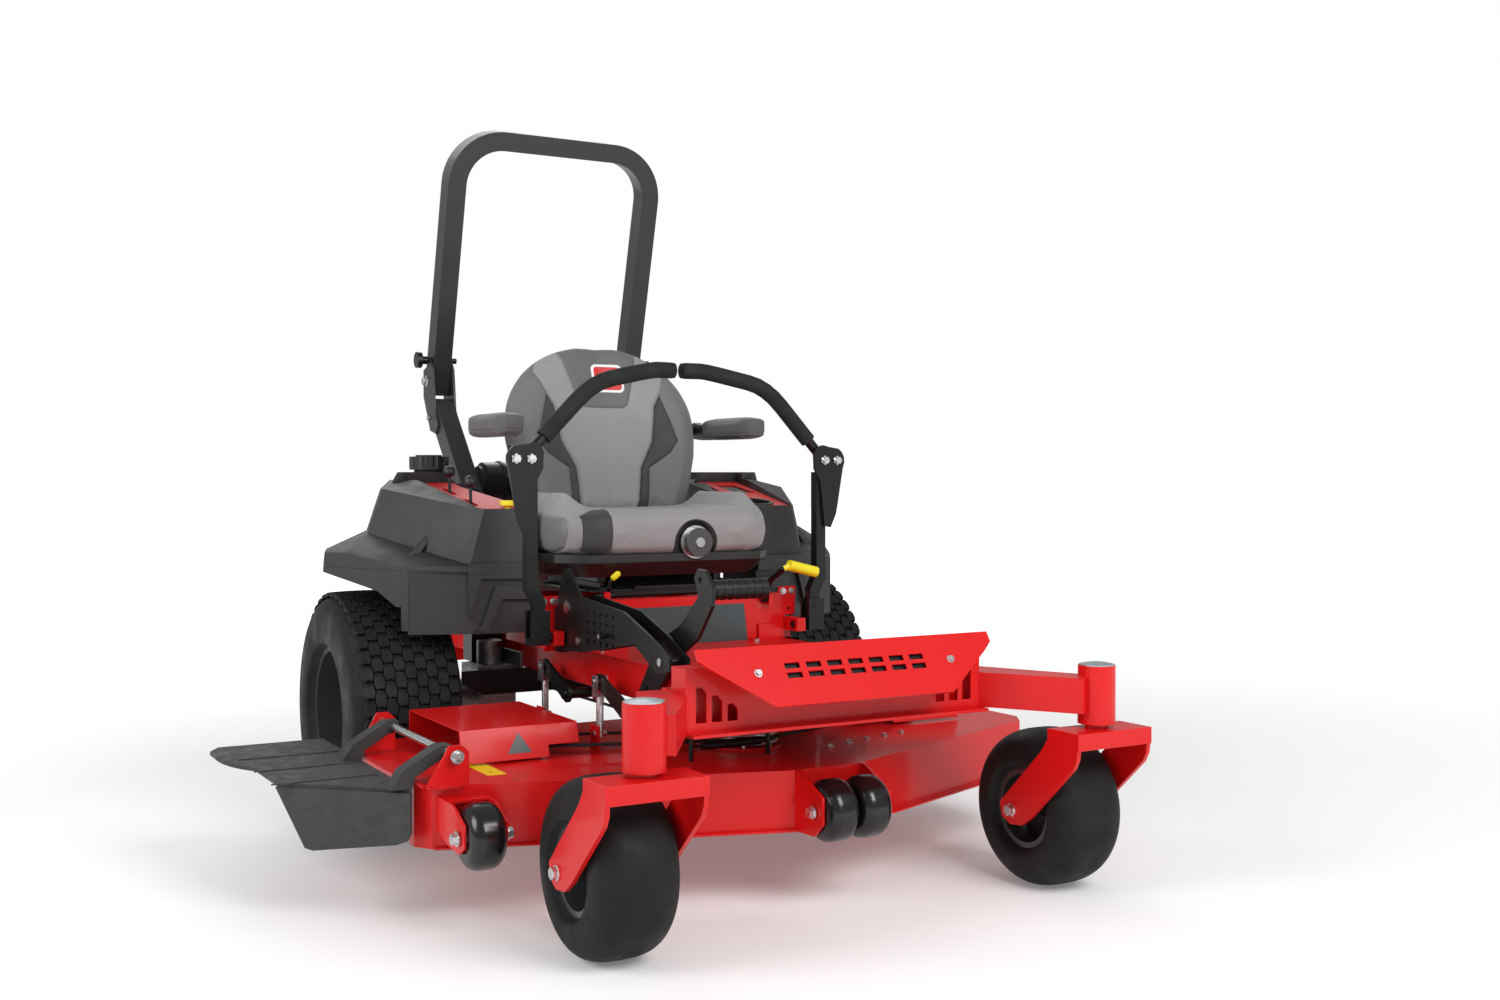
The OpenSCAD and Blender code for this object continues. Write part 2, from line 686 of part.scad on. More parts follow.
grip_start = [378, lever_y, 918];
elbow_1 = [226, 375, 1076];
elbow_2 = [67, 393, 1110];
grip_end = [17, 400, 1110];
grip_route = smooth([grip_start, elbow_1, elbow_2, grip_end]);

// Lower tube, slotted adjuster plate and upper tube
module control_lever() {
    difference() {
        plate_xz([[348, 520], [374, 520], [374, 575], [392, 610], [392, 872], [366, 872], [366, 622],
            [348, 585]], lever_y - 13, 26);
        rod_y([361, lever_y - 20, lever_pivot_z], 6, 40);
    }
    rod_y([361, lever_y - 21.5, lever_pivot_z], 5.9, 43);
    lever_plate();
    swept(concat([grip_start - 24 * unit(elbow_1 - grip_start)], grip_route), 12.3);
}

module lever_plate() {
    plate_xz(concat(arc([408, 900], 34, -30, 60, 4), arc([380, 912], 26, 60, 170, 4),
        [[356, 880], [372, 850], [384, 740], [402, 736], [418, 770]]), lever_y - 21.5, 8);
    box([382, lever_y + 13, 860], [424, lever_y + 19, 930]);
    for (x = [384, 420]) {
        bolt_at([x, lever_y - 21.5, 901], [90, 0, 0], 9);
        rod_y([x, lever_y - 13.5, 901], 5, 32);
    }
}

module control_lever_right() placed() color(black) side(-1) control_lever();
module control_lever_left() placed() color(black) side(1) control_lever();

module lever_grip() {
    swept(concat([grip_start + 44 * unit(elbow_1 - grip_start)],
        [for (i = [1 : len(grip_route) - 1]) grip_route[i]]), grip_d / 2, 12.7);
    translate(grip_end - [3, 0, 0]) rotate([0, -90, 0]) cylinder(r = grip_d / 2 - 1, h = 4);
}

module lever_grip_right() placed() color("#2a2d2e") side(-1) lever_grip();
module lever_grip_left() placed() color("#2a2d2e") side(1) lever_grip();

// ---- seat ----

dial_x = 48;

module seat_platform() placed() color("#3a3d3f") {
    difference() {
        box([-200, 455, 592], [200, 800, 597]);
        box([-120, 540, 591], [120, 720, 598]);
        both() box([147, 454, 591], [168, 470, 598]);
    }
    both() difference() {
        box([140, 470, 597], [170, 780, 612]);
        box([144, 469, 601], [166, 781, 613]);
    }
    rod_x([-180, 463, 583], 6, 360);
    box([-140, 457, 583], [140, 469, 593]);
    box([-90, 444, 597], [90, 456, 603]);
}

module seat_pan() placed() color("#232527") {
    difference() {
        hull() {
            plate_xy([[-205, 430], [205, 430], [240, 480], [240, 830], [-240, 830], [-240, 480]],
                628, 2);
            plate_xy([[-225, 398], [225, 398], [284, 470], [284, 860], [-284, 860], [-284, 470]],
                662, 19);
        }
        box([-190, 470, 640], [190, 800, 690]);
        rod_y([dial_x, 380, 706], 42, 40);
    }
    both() {
        box([145, 490, 602], [165, 760, 629]);
        plate_yz([[830.5, 660], [841, 660], [894, 1050], [882, 1050]], 150, 8);
        box([150, 880, 970], [158, 905, 1000]);
    }
    rod_x([-330, 905, 985], 11, 660);
}

// Cushion with a pad on each side, drawn as one closed solid
module seat_cushion() placed() color("#8f8e8d") difference() {
    hull() {
        plate_xy([[-222, 384], [222, 384], [cushion_w / 2, 470], [cushion_w / 2, 800],
            [-cushion_w / 2, 800], [-cushion_w / 2, 470]], 682, 20);
        plate_xy([[-228, 378], [228, 378], [cushion_w / 2 - 4, 470], [cushion_w / 2 - 14, 790],
            [14 - cushion_w / 2, 790], [4 - cushion_w / 2, 470]], 740, 10);
        plate_xy([[-205, 396], [205, 396], [270, 480], [260, 760], [-260, 760], [-270, 480]],
            cushion_z - 2, 4);
        both() plate_xy([[215, 470], [262, 500], [250, 750], [215, 750]], cushion_z + 20, 2);
    }
    rod_y([dial_x, 370, 706], 45, 42);
}

module seat_back() placed() color("#8f8e8d") hull()
    for (c = [[806, 195, 764, 848], [900, 245, 780, 858], [973, 271, 790, 867], [1040, 268, 812, 874],
        [1112, 232, 838, 884], [1180, 140, 858, 896], [1205, 60, 872, 900]])
        box([-c[1], c[2], c[0] - 1], [c[1], c[3], c[0] + 1]);

module armrest() {
    hull() {
        plate_xz([[300, 962], [352, 962], [361, 975], [361, 1000], [350, 1012], [300, 1012]],
            600, 250);
        plate_xz([[304, 966], [348, 966], [352, 975], [352, 996], [344, 1002], [304, 1002]],
            593, 262);
    }
    difference() {
        plate_yz([[830, 966], [905, 963], [921, 971], [927, 985], [921, 999], [905, 1007],
            [830, 1000]], 304, 24);
        rod_x([303, 905, 985], 11 + run, 26);
    }
}

module armrest_right() placed() color("#3b3d3e") side(-1) armrest();
module armrest_left() placed() color("#3b3d3e") side(1) armrest();

module suspension_dial() placed() color("#a9abad") {
    rod_y([dial_x, 378, 706], 34, 20);
    rod_y([dial_x, 398, 706], 40, 10);
    rod_y([dial_x, 374, 706], 12, 4);
}

// ---- roll bar ----

// Frame of the hoop: x across, y up the legs from the hinge, z towards the rear
module on_hoop() translate([0, hinge_y, hinge_z]) rotate([90 + rops_lean, 0, 0]) children();

bend = 150;

module tube_rect(w, h, wall) difference() {
    square([w, h], center = true);
    square([w - 2 * wall, h - 2 * wall], center = true);
}

module rops_hoop() placed() color(black) difference() {
    on_hoop() {
        both() translate([rops_w / 2 - rops_tube / 2, -34, 0]) rotate([-90, 0, 0])
            linear_extrude(rops_len - bend + 34) tube_rect(rops_tube - 1, rops_deep, 5);
        both() translate([rops_w / 2 - bend, rops_len - bend, 0]) rotate_extrude(angle = 90)
            translate([bend - rops_tube / 2, 0]) tube_rect(rops_tube - 1, rops_deep, 5);
        translate([bend - rops_w / 2, rops_len - rops_tube / 2, 0]) rotate([90, 0, 90])
            linear_extrude(rops_w - 2 * bend) tube_rect(rops_tube - 1, rops_deep, 5);
    }
    both() {
        rod_x([rops_w / 2 - rops_tube - 1, hinge_y, hinge_z], 8, rops_tube + 2);
        on_hoop() translate([rops_w / 2 - rops_tube - 1, pin_rise, 0]) rotate([0, 90, 0])
            cylinder(r = 8, h = rops_tube + 2);
    }
}

// Pull pin with a round knob outside
module rops_pin() on_hoop() translate([rops_w / 2 - rops_tube - 22, pin_rise, 0]) rotate([0, 90, 0]) {
    cylinder(r = 7.6, h = rops_tube + 46);
    translate([0, 0, rops_tube + 30.5]) cylinder(r = 11, h = 18);
    translate([0, 0, rops_tube + 48.5]) cylinder(r = 22, h = 14);
}

module rops_pin_right() placed() color(black) side(-1) rops_pin();
module rops_pin_left() placed() color(black) side(1) rops_pin();

// ---- cutting deck ----

deck_pts = [[125, -190], [150, -174], [762, 73], [deck_left, 130], [deck_left, 538], [760, 578],
    [-700, 578], [deck_right, 540], [deck_right, 60], [-724, 23], [-39, -190]];
deck_in = [[121, -184], [151, -167], [757, 78], [deck_left - 6, 134], [deck_left - 6, 534],
    [757, 572], [-696, 572], [deck_right + 6, 536], [deck_right + 6, 64], [-721, 29], [-38, -184]];

function spindle_at(i) = [deck_mid + i * spindle_gap, i == 0 ? centre_y : side_y, 0];

module deck_shell() placed() color(red) {
    difference() {
        union() {
            plate_xy(deck_pts, deck_low, deck_top - deck_low);
            // front wall trim bend
            plate_xy([[-39, -196], [125, -196], [150, -180], [762, 66], [770, 60], [152, -190],
                [126, -206], [-40, -206], [-724, 12], [-720, 20]], deck_low, 4);
        }
        plate_xy(deck_in, deck_low - 1, deck_top - deck_low - 4);
        // discharge opening on the right
        box([deck_right - 4, 90, deck_low - 1], [deck_right + 10, 500, deck_top - 12]);
        for (i = [-1 : 1]) translate(spindle_at(i) + [0, 0, deck_top - 10]) cylinder(r = 40, h = 20);
    }
    for (i = [-1 : 1]) translate(spindle_at(i) + [0, 0, deck_top]) ring(82, 40, 4);
    chute_mounts();
    roller_brackets();
}

// Red plate along the discharge side with two hinge ears for the chute
module chute_mounts() {
    box([deck_right, 10, deck_top], [deck_right + 8, 500, deck_top + 6]);
    for (y = [-12, 460]) difference() {
        plate_xz([[deck_right + 2, deck_top + 6], [chute_hinge_x + 28, deck_top], [chute_hinge_x + 28, 336],
            [chute_hinge_x + 14, 350], [chute_hinge_x - 12, 350], [chute_hinge_x - 22, 330]], y, 6);
        rod_y([chute_hinge_x, y - 1, chute_hinge_z], 8, 8);
    }
    box([deck_right + 8, -12, deck_top], [chute_hinge_x + 28, 500, deck_top + 4]);
}

module roller_ear(x) difference() {
    plate_yz([[-150, deck_low], [-150, deck_top], [-205, deck_top], [-292, 232], [-292, 178],
        [-262, 150], [-205, deck_low]], x, 6);
    rod_x([x - 1, -260, 198], 8, 8);
}

module roller_brackets() {
    roller_ear(-39);
    roller_ear(119);
    for (x = [-716, -634]) difference() {
        plate_yz([[40, 250], [-70, 250], [-132, 222], [-132, 180], [-105, 164], [-40, 170], [40, 190]],
            x, 5);
        rod_x([x - 1, -105, 194], 8, 7);
    }
    plate_xy([[-716, 30], [-629, 4], [-629, -40], [-716, -40]], 245, 5);
    for (p = lift_rods) difference() {
        box([p[0] - 14, p[1] - 20, deck_top], [p[0] - 9, p[1] + 20, 322]);
        rod_x([p[0] - 15, p[1], 304], 7, 8);
    }
}

// Folded sheet cover over one side spindle, open at its ends; drawn for the left side
module belt_cover(x0, x1) difference() {
    plate_yz([[170, deck_top + 5], [190, 342], [520, 342], [520, deck_top + 5]], x0, x1 - x0);
    plate_yz([[173.2, deck_top + 4], [192.6, 339], [517, 339], [517, deck_top + 4]], x0 - 1, x1 - x0 + 2);
    box([x1 - 70, 160, deck_top + 4], [x1 + 1, 205, deck_top + 29]);
}

module belt_covers() placed() color(red) {
    translate([-612, 0, 0]) belt_cover(0, 262);
    translate([2 * deck_mid + 612, 0, 0]) mirror([1, 0, 0]) belt_cover(0, 262);
}

// Bolts, hinge rods, roller axles, spring and lift rods that ride with the deck
module deck_fittings() placed() color(zinc) {
    for (i = [-1 : 1], a = [0 : 60 : 300])
        translate(spindle_at(i) + [65 * cos(a), 65 * sin(a), deck_top + 4]) hex_bolt(3.6);
    rod_y([chute_hinge_x, -24, chute_hinge_z], 7.9, 510);
    bolt_at([chute_hinge_x, -24, chute_hinge_z], [90, 0, 0], 10);
    bolt_at([chute_hinge_x, 486, chute_hinge_z], [-90, 0, 0], 10);
    rod_x([-42, -260, 198], 7.9, 172);
    bolt_at([-41, -260, 198], [0, -90, 0], 11);
    bolt_at([127, -260, 198], [0, 90, 0], 11);
    rod_x([-719, -105, 194], 7.9, 96);
    bolt_at([-719, -105, 194], [0, -90, 0], 11);
    bolt_at([-623, -105, 194], [0, 90, 0], 11);
    for (p = lift_rods) lift_rod(p[0], p[1]);
    for (i = [0 : 4]) bolt_at([170 + 60 * i, 0 + 18 * i, deck_top], [0, 0, 0], 6);
    tension_spring();
}

// Threaded rod and clevis pin between a deck ear and the arm of a lift shaft
module lift_rod(x, y) {
    rod_x([x - 18, y, 304], 6.9, 32);
    rod_z([x, y, 296], 8, lift_pin_z - 322);
    for (dx = [-14, 9]) box([x + dx, y - 11, lift_pin_z - 32], [x + dx + 5, y + 11, lift_pin_z + 12]);
    box([x - 14, y - 11, lift_pin_z - 34], [x + 14, y + 11, lift_pin_z - 26]);
    rod_x([x - 18, y, lift_pin_z], 5, 36);
}

module tension_spring() {
    for (i = [0 : 22]) rod_x([-150 + i * 6.2, 0, 300], 9, 4.6);
    rod_x([-176, 0, 300], 3.5, 190);
    rod_z([-176, 0, deck_top], 5, 46);
    rod_z([10, 0, deck_top], 5, 46);
}

module belt_path(grow) {
    for (i = [-1, 1]) hull() {
        translate(spindle_at(i)) circle(r = pulley_r - 9 + grow);
        translate(spindle_at(0)) circle(r = pulley_r - 9 + grow);
    }
    hull() {
        translate(spindle_at(0)) circle(r = pulley_r - 9 + grow);
        translate([0, pto_y]) circle(r = pto_r - 9 + grow);
    }
}

module deck_belt() placed() color("#171819") translate([0, 0, pulley_z - 3]) linear_extrude(6)
    difference() {
        belt_path(8);
        belt_path(0);
    }

// Shaft, pulley, housing flange and blade of one spindle
module spindle(i) translate(spindle_at(i)) {
    rod_z([0, 0, 172], 12.5, 150);
    translate([0, 0, 0]) grooved_pulley(pulley_r, 12.5);
    rod_z([0, 0, deck_top - 70], 34, 68);
    rod_z([0, 0, 171], 20, 30);
    blade();
    translate([0, 0, 322]) hex_bolt(16);
}

module blade() {
    box([-blade_r + 4, -31, 165], [blade_r - 4, 31, 171]);
    for (a = [0, 180]) rotate([0, 0, a]) plate_yz([[18, 165], [31, 165], [44, 184], [40, 187], [27, 171],
        [18, 171]], blade_r - 110, 100);
}

module spindle_right() placed() color("#5d6063") spindle(-1);
module spindle_centre() placed() color("#5d6063") spindle(0);
module spindle_left() placed() color("#5d6063") spindle(1);

// Smooth anti-scalp roller with a crowned rim, its axis along X
module roller(p, w) translate(p) rotate([0, 90, 0]) rotate_extrude() difference() {
    polygon(concat([[7.9 + run, -w / 2]], arc([63 - 26, -w / 2 + 26], 26, 270, 360, 5),
        arc([63 - 26, w / 2 - 26], 26, 0, 90, 5), [[7.9 + run, w / 2]]));
}

module roller_right() placed() color("#161718") roller([-672.5, -105, 194], 72);

module rollers_centre() placed() color("#161718") {
    roller([4, -260, 198], 72);
    roller([82, -260, 198], 72);
}

// Moulded discharge chute: a curved top sheet, a hanging front flap and its hinge knuckles
chute_pts = concat([[-760, 36], [-968, 226]], arc([-716, 560], 300, 212, 180, 4),
    [[chute_x, 640], [-990, 686], [-760, 686]]);

// Front flap that hangs from the chute's slanted front edge
module chute_flap() translate([-760, 34, 0]) rotate([0, 0, 137]) plate_xz([[0, 258.5], [285, 258.5],
    [222, 142], [205, 138], [30, 158], [8, 166], [0, 180]], 0, 7);

module chute() placed() color("#34383a") {
    plate_xy(chute_pts, 258, 8);
    chute_flap();
    for (y = [200, 350, 500]) box([-985, y, 266], [-775, y + 5, 268.5]);
    for (y = [40, 380]) difference() {
        plate_xz([[-800, 265], [-757, 265], [-754, 284], [-700, 316], [-678, 318], [-678, 342],
            [-704, 342], [-776, 300]], y, 40);
        rod_y([chute_hinge_x, y - 1, chute_hinge_z], 8.3, 42);
    }
}

// ---- deck lift ----

// Shaft across the frame with two arms; each arm has a long hole for a lift rod's pin
module lift_shaft(y) translate([0, y, lift_z]) {
    rod_x([-290, 0, 0], 12, 580);
    for (x = [-282, 274]) rotate([asin(deck_drop / 2 / lift_r), 0, 0]) difference() {
        hull() {
            rod_x([x, 0, 0], 20, 8);
            rod_x([x, lift_r, 0], 16, 8);
        }
        plate_yz([[lift_reach - 8, -6.5], [lift_r + 7, -6.5], [lift_r + 7, 6.5], [lift_reach - 8, 6.5]],
            x - 1, 10);
    }
}

module lift_pedal() placed() color(black) {
    lift_shaft(front_shaft_y);
    difference() {
        plate_yz([[112, 350], [122, 382], [12, 520], [-96, 568], [-168, 628], [-150, 664],
            [-164, 682], [-196, 680], [-226, 648], [-222, 612], [-164, 544], [-64, 488], [56, 380],
            [84, 350]], -248, 8);
        rod_x([-249, -176, 660], 6, 10);
        rod_x([-249, 60, 420], 5, 10);
    }
    rod_x([-240, -202, 642], 19, 124);
    for (i = [0 : 6]) rod_x([-234 + i * 17, -202, 642], 20.5, 8);
}

module rear_lift_shaft() placed() color(black) lift_shaft(rear_shaft_y);

// ---- hand controls ----

module parking_brake() placed() color("#e3d600") {
    rod_x([238, 413, 560], 6, 28);
    bent([[243, 413, 560], [243, 380, 610], [243, 322, 640], [262, 318, 648]], 6.5);
    bar([256, 318, 649], [334, 318, 630], 13);
}

module ball_lever(p, q) {
    rod_x(p - [5, 0, 0], 7, 10);
    bar(p, q, 4);
    translate(q) sphere(r = 15);
}

module throttle_lever() placed() color(black) ball_lever([-408, 828, 775], [-410, 832, 873]);
module choke_lever() placed() color(black) ball_lever([-410, 676, 750], [-410, 680, 849]);

module pto_knob() placed() color("#f2cf00") {
    rod_z([-347, 600, 745], 8 - run, 48);
    rod_z([-347, 600, 793], 19, 12);
}

module fuel_cap() placed() color("#1e2021") translate([cap_at[0], cap_at[1], 878]) {
    difference() {
        rod_z([0, 0, 0], 50, 34);
        for (a = [0 : 30 : 330]) rotate([0, 0, a]) translate([54, 0, 8]) cylinder(r = 8, h = 40);
        rod_z([0, 0, -1], 38.5, 12);
    }
    rod_z([0, 0, 34], 34, 4);
}

frame_rails();
front_axle();
front_plate();
floor_pan();
seat_tower();
fenders();
console_panels();
rops_base();
engine_block();
engine_shroud();
air_cleaner();
muffler();
engine_guard();
hydro_drives();
frame_hardware();
height_plates();
caster_fork_right();
caster_fork_left();
caster_rim_right();
caster_rim_left();
caster_tyre_right();
caster_tyre_left();
drive_rim_right();
drive_rim_left();
drive_tyre_right();
drive_tyre_left();
lever_yoke_right();
lever_yoke_left();
control_lever_right();
control_lever_left();
lever_grip_right();
lever_grip_left();
seat_platform();
seat_pan();
seat_cushion();
seat_back();
armrest_right();
armrest_left();
suspension_dial();
rops_hoop();
rops_pin_right();
rops_pin_left();
deck_shell();
belt_covers();
deck_fittings();
deck_belt();
spindle_right();
spindle_centre();
spindle_left();
pto_clutch();
roller_right();
rollers_centre();
chute();
lift_pedal();
rear_lift_shaft();
parking_brake();
throttle_lever();
choke_lever();
pto_knob();
fuel_cap();
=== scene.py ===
"""Looks of the riding lawn mower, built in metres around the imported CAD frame."""
import math

import bmesh
import bpy
from mathutils import Euler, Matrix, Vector


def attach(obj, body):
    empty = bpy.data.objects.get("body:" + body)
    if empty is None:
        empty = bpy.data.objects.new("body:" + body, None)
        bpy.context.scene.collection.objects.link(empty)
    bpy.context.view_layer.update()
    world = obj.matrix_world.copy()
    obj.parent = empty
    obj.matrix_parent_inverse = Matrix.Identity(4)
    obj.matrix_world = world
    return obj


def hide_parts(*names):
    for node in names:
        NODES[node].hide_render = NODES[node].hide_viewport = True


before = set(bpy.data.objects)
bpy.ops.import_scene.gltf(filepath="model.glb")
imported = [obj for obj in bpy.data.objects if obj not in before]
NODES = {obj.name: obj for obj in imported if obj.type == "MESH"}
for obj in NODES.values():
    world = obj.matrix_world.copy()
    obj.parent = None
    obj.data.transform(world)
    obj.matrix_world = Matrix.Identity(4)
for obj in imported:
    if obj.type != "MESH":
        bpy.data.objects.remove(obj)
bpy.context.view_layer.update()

SHIFT = Vector((0.108, -0.5385, 0.0))  # from the machine's own centreline to the row frame
SIDES = (("right", -1), ("left", 1))
MM = 0.001

# Places in the machine's own millimetres, for the left side where there are two
CASTER_AXLE = (512, -318, 165)
DRIVE_AXLE = (571.5, 895, 292)
CONSOLE_HINGE = (600, 783)  # y and z of the line that the consoles lean about
CONSOLE_LEAN = math.radians(9)
CUP = (350, 45)  # x, and distance up the console from its line
PLATE_FOOT = (-392, 435)  # y and z of the slotted front plate's lower edge
PLATE_SLOPE = math.radians(56.5)
BRAKE_GRIP = ((256, 318, 649), (334, 318, 630))
LEVER_BOLTS_X = (384, 420)
LEVER_BOLTS_Z = 901
TOWER_FRONT = 426
DECK_TOP = 270
COVER_FOOT = 275  # z of the lower edge of a belt cover's front slope
COVER_RISE = 67
DIAL = (42, 704)  # x and z of the recess round the suspension dial


def at(x, y, z):
    """A point given in the machine's own millimetres, x = 0 on the chassis centreline."""
    return Vector((x, y, z)) * MM + SHIFT


# ---- materials ----

def set_inputs(node, values):
    for name, value in values.items():
        node.inputs[name].default_value = value


class Shader:
    """A Principled material with small helpers that add procedural colour, roughness and bump."""

    def __init__(self, name, **inputs):
        self.mat = bpy.data.materials.new(name)
        self.mat.use_nodes = True
        self.tree = self.mat.node_tree
        self.bsdf = self.tree.nodes["Principled BSDF"]
        set_inputs(self.bsdf, {key.replace("_", " "): v for key, v in inputs.items()})
        self.coord = self.node("ShaderNodeTexCoord").outputs["Object"]
        self.height = None

    def node(self, kind, **inputs):
        made = self.tree.nodes.new(kind)
        set_inputs(made, inputs)
        return made

    def link(self, a, b):
        self.tree.links.new(a, b)

    def scaled(self, factor):
        mapping = self.node("ShaderNodeMapping")
        mapping.inputs["Scale"].default_value = factor
        self.link(self.coord, mapping.inputs["Vector"])
        return mapping.outputs["Vector"]

    def noise(self, scale, detail=4.0, rough=0.55, stretch=(1, 1, 1)):
        made = self.node("ShaderNodeTexNoise", Scale=scale, Detail=detail, Roughness=rough)
        self.link(self.scaled(stretch), made.inputs["Vector"])
        return made.outputs["Fac"]

    def cells(self, scale, feature="F1"):
        made = self.node("ShaderNodeTexVoronoi", Scale=scale)
        made.feature = feature
        self.link(self.coord, made.inputs["Vector"])
        return made.outputs["Distance"]

    def ranged(self, fac, low, high, start=0.3, end=0.7):
        made = self.node("ShaderNodeMapRange")
        set_inputs(made, {"From Min": start, "From Max": end, "To Min": low, "To Max": high})
        self.link(fac, made.inputs["Value"])
        return made.outputs["Result"]

    def mix(self, fac, a, b):
        """Colour mix; a and b are colours or sockets."""
        made = self.node("ShaderNodeMix")
        made.data_type = "RGBA"
        for value, socket in ((a, made.inputs[6]), (b, made.inputs[7])):
            if isinstance(value, tuple):
                socket.default_value = (*value, 1.0)
            else:
                self.link(value, socket)
        self.link(fac, made.inputs["Factor"])
        return made.outputs[2]

    def colour(self, socket):
        self.link(socket, self.bsdf.inputs["Base Color"])

    def rough(self, fac, low, high, start=0.3, end=0.7):
        self.link(self.ranged(fac, low, high, start, end), self.bsdf.inputs["Roughness"])

    def bump(self, fac, strength, distance):
        made = self.node("ShaderNodeBump", Strength=strength, Distance=distance)
        self.link(fac, made.inputs["Height"])
        if self.height is not None:
            self.link(self.height, made.inputs["Normal"])
        self.height = made.outputs["Normal"]
        self.link(self.height, self.bsdf.inputs["Normal"])
        return self


def tint(rgb, k):
    return tuple(min(1.0, c * k) for c in rgb)


def paint(name, rgb, rough=0.3, coat=0.6, peel=0.05, mottle=0.1, specular=0.5):
    s = Shader(name, Coat_Weight=coat, Coat_Roughness=0.12, Metallic=0.0)
    s.bsdf.inputs["Specular IOR Level"].default_value = specular
    s.colour(s.mix(s.noise(5.0), tint(rgb, 1 - mottle), tint(rgb, 1 + mottle)))
    s.rough(s.noise(3.0, 2.0), rough * 0.95, rough * 1.1)
    return s.bump(s.noise(520.0, 2.0), peel, 0.0003).mat


def plastic(name, rgb, rough=0.5, grain=0.25, grain_scale=900.0, mottle=0.12):
    s = Shader(name)
    s.colour(s.mix(s.noise(7.0), tint(rgb, 1 - mottle), tint(rgb, 1 + mottle)))
    s.rough(s.noise(22.0), rough * 0.85, min(1.0, rough * 1.15))
    return s.bump(s.cells(grain_scale), grain, 0.0005).mat


def metal(name, rgb, rough=0.3, brushed=False, mottle=0.12):
    s = Shader(name, Metallic=1.0)
    s.colour(s.mix(s.noise(60.0), tint(rgb, 1 - mottle), tint(rgb, 1 + mottle)))
    s.rough(s.noise(90.0), rough * 0.7, rough * 1.4)
    stretch = (1, 1, 14) if brushed else (1, 1, 1)
    return s.bump(s.noise(260.0, 3.0, stretch=stretch), 0.12, 0.0003).mat


def rubber(name, rgb, rough=0.65, dust=(0.16, 0.14, 0.12), dust_amount=0.22, grain=0.2):
    s = Shader(name)
    s.bsdf.inputs["Specular IOR Level"].default_value = 0.28
    base = s.mix(s.noise(6.0), tint(rgb, 0.75), tint(rgb, 1.3))
    spots = s.ranged(s.noise(3.2, 9.0, 0.7), 0.0, dust_amount, 0.55, 0.78)
    s.colour(s.mix(spots, base, dust))
    s.rough(s.noise(18.0), rough * 0.8, min(1.0, rough * 1.2))
    return s.bump(s.noise(700.0, 3.0), grain, 0.0006).mat


def vinyl(name, base, panels=(), rough=(0.55, 0.7)):
    """Seat vinyl with pebble grain, colour drift and a little sheen, and panels coloured by the sign of
    stored distances."""
    s = Shader(name, Sheen_Weight=0.12, Sheen_Roughness=0.5)
    s.bsdf.inputs["Specular IOR Level"].default_value = 0.35
    colour = s.mix(s.noise(9.0, 6.0), tint(base, 0.9), tint(base, 1.1))
    for attribute, rgb in panels:
        read = s.node("ShaderNodeAttribute")
        read.attribute_name = attribute
        inside = s.node("ShaderNodeMath")
        inside.operation = "GREATER_THAN"
        inside.inputs[1].default_value = 0.0
        s.link(read.outputs["Fac"], inside.inputs[0])
        panel = s.mix(s.noise(9.0, 6.0), tint(rgb, 0.9), tint(rgb, 1.1))
        colour = s.mix(inside.outputs[0], colour, panel)
    s.colour(colour)
    s.rough(s.noise(30.0), *rough)
    s.bump(s.cells(620.0, "SMOOTH_F1"), 0.3, 0.0006)
    return s.bump(s.noise(35.0, 5.0), 0.12, 0.0015).mat


RED = paint("red_powder_coat", (0.62, 0.0035, 0.004), rough=0.42, coat=0.28, mottle=0.04, specular=0.22)
BLACK = paint("black_powder_coat", (0.0045, 0.0048, 0.005), rough=0.4, coat=0.12, mottle=0.15, specular=0.3)
ROPS_BLACK = paint("roll_bar_black", (0.018, 0.0195, 0.02), rough=0.42, coat=0.12, mottle=0.15, specular=0.35)
FENDER = plastic("moulded_charcoal", (0.02, 0.0205, 0.021), rough=0.52, grain=0.3)
SMOOTH_BLACK = plastic("black_moulding", (0.012, 0.012, 0.013), rough=0.35, grain=0.1)
ZINC = metal("zinc_plate", (0.66, 0.67, 0.68), rough=0.28)
STEEL = metal("bare_steel", (0.42, 0.42, 0.43), rough=0.35, brushed=True)
CAP_ZINC = metal("cap_zinc", (0.55, 0.62, 0.66), rough=0.38)
ALLOY = metal("cast_alloy", (0.34, 0.35, 0.36), rough=0.5)
RIM = paint("rim_grey", (0.035, 0.038, 0.04), rough=0.35, coat=0.35, mottle=0.2)
TYRE = rubber("tyre_rubber", (0.006, 0.0062, 0.0064), dust_amount=0.12)
BELT = rubber("belt_rubber", (0.01, 0.01, 0.01), dust_amount=0.1)
FOAM = rubber("foam_grip", (0.014, 0.0155, 0.016), rough=0.8, dust_amount=0.05, grain=0.5)
DIAL_GREY = plastic("dial_grey", (0.05, 0.05, 0.051), rough=0.4, grain=0.05)
ROLLER = plastic("roller_black", (0.006, 0.006, 0.007), rough=0.22, grain=0.02, grain_scale=200.0)
YELLOW = plastic("yellow_grip", (0.85, 0.72, 0.01), rough=0.4, grain=0.08)
PLAIN_ROUGH = (0.558, 0.6944)
VINYL_LIGHT = vinyl("vinyl_light_grey", (0.24, 0.235, 0.236), rough=PLAIN_ROUGH)
VINYL_MID = vinyl("vinyl_mid_grey", (0.085, 0.082, 0.083), rough=PLAIN_ROUGH)
EXHAUST = metal("heat_tinted_steel", (0.30, 0.27, 0.24), rough=0.55)
DECAL_DARK = plastic("decal_dark", (0.045, 0.07, 0.075), rough=0.3, grain=0.02)
DECAL_YELLOW = plastic("decal_yellow", (0.85, 0.66, 0.0), rough=0.3, grain=0.02)
DECAL_WHITE = plastic("decal_white", (0.8, 0.8, 0.8), rough=0.3, grain=0.02)
DECAL_RED = plastic("decal_red", (0.6, 0.02, 0.02), rough=0.35, grain=0.02)


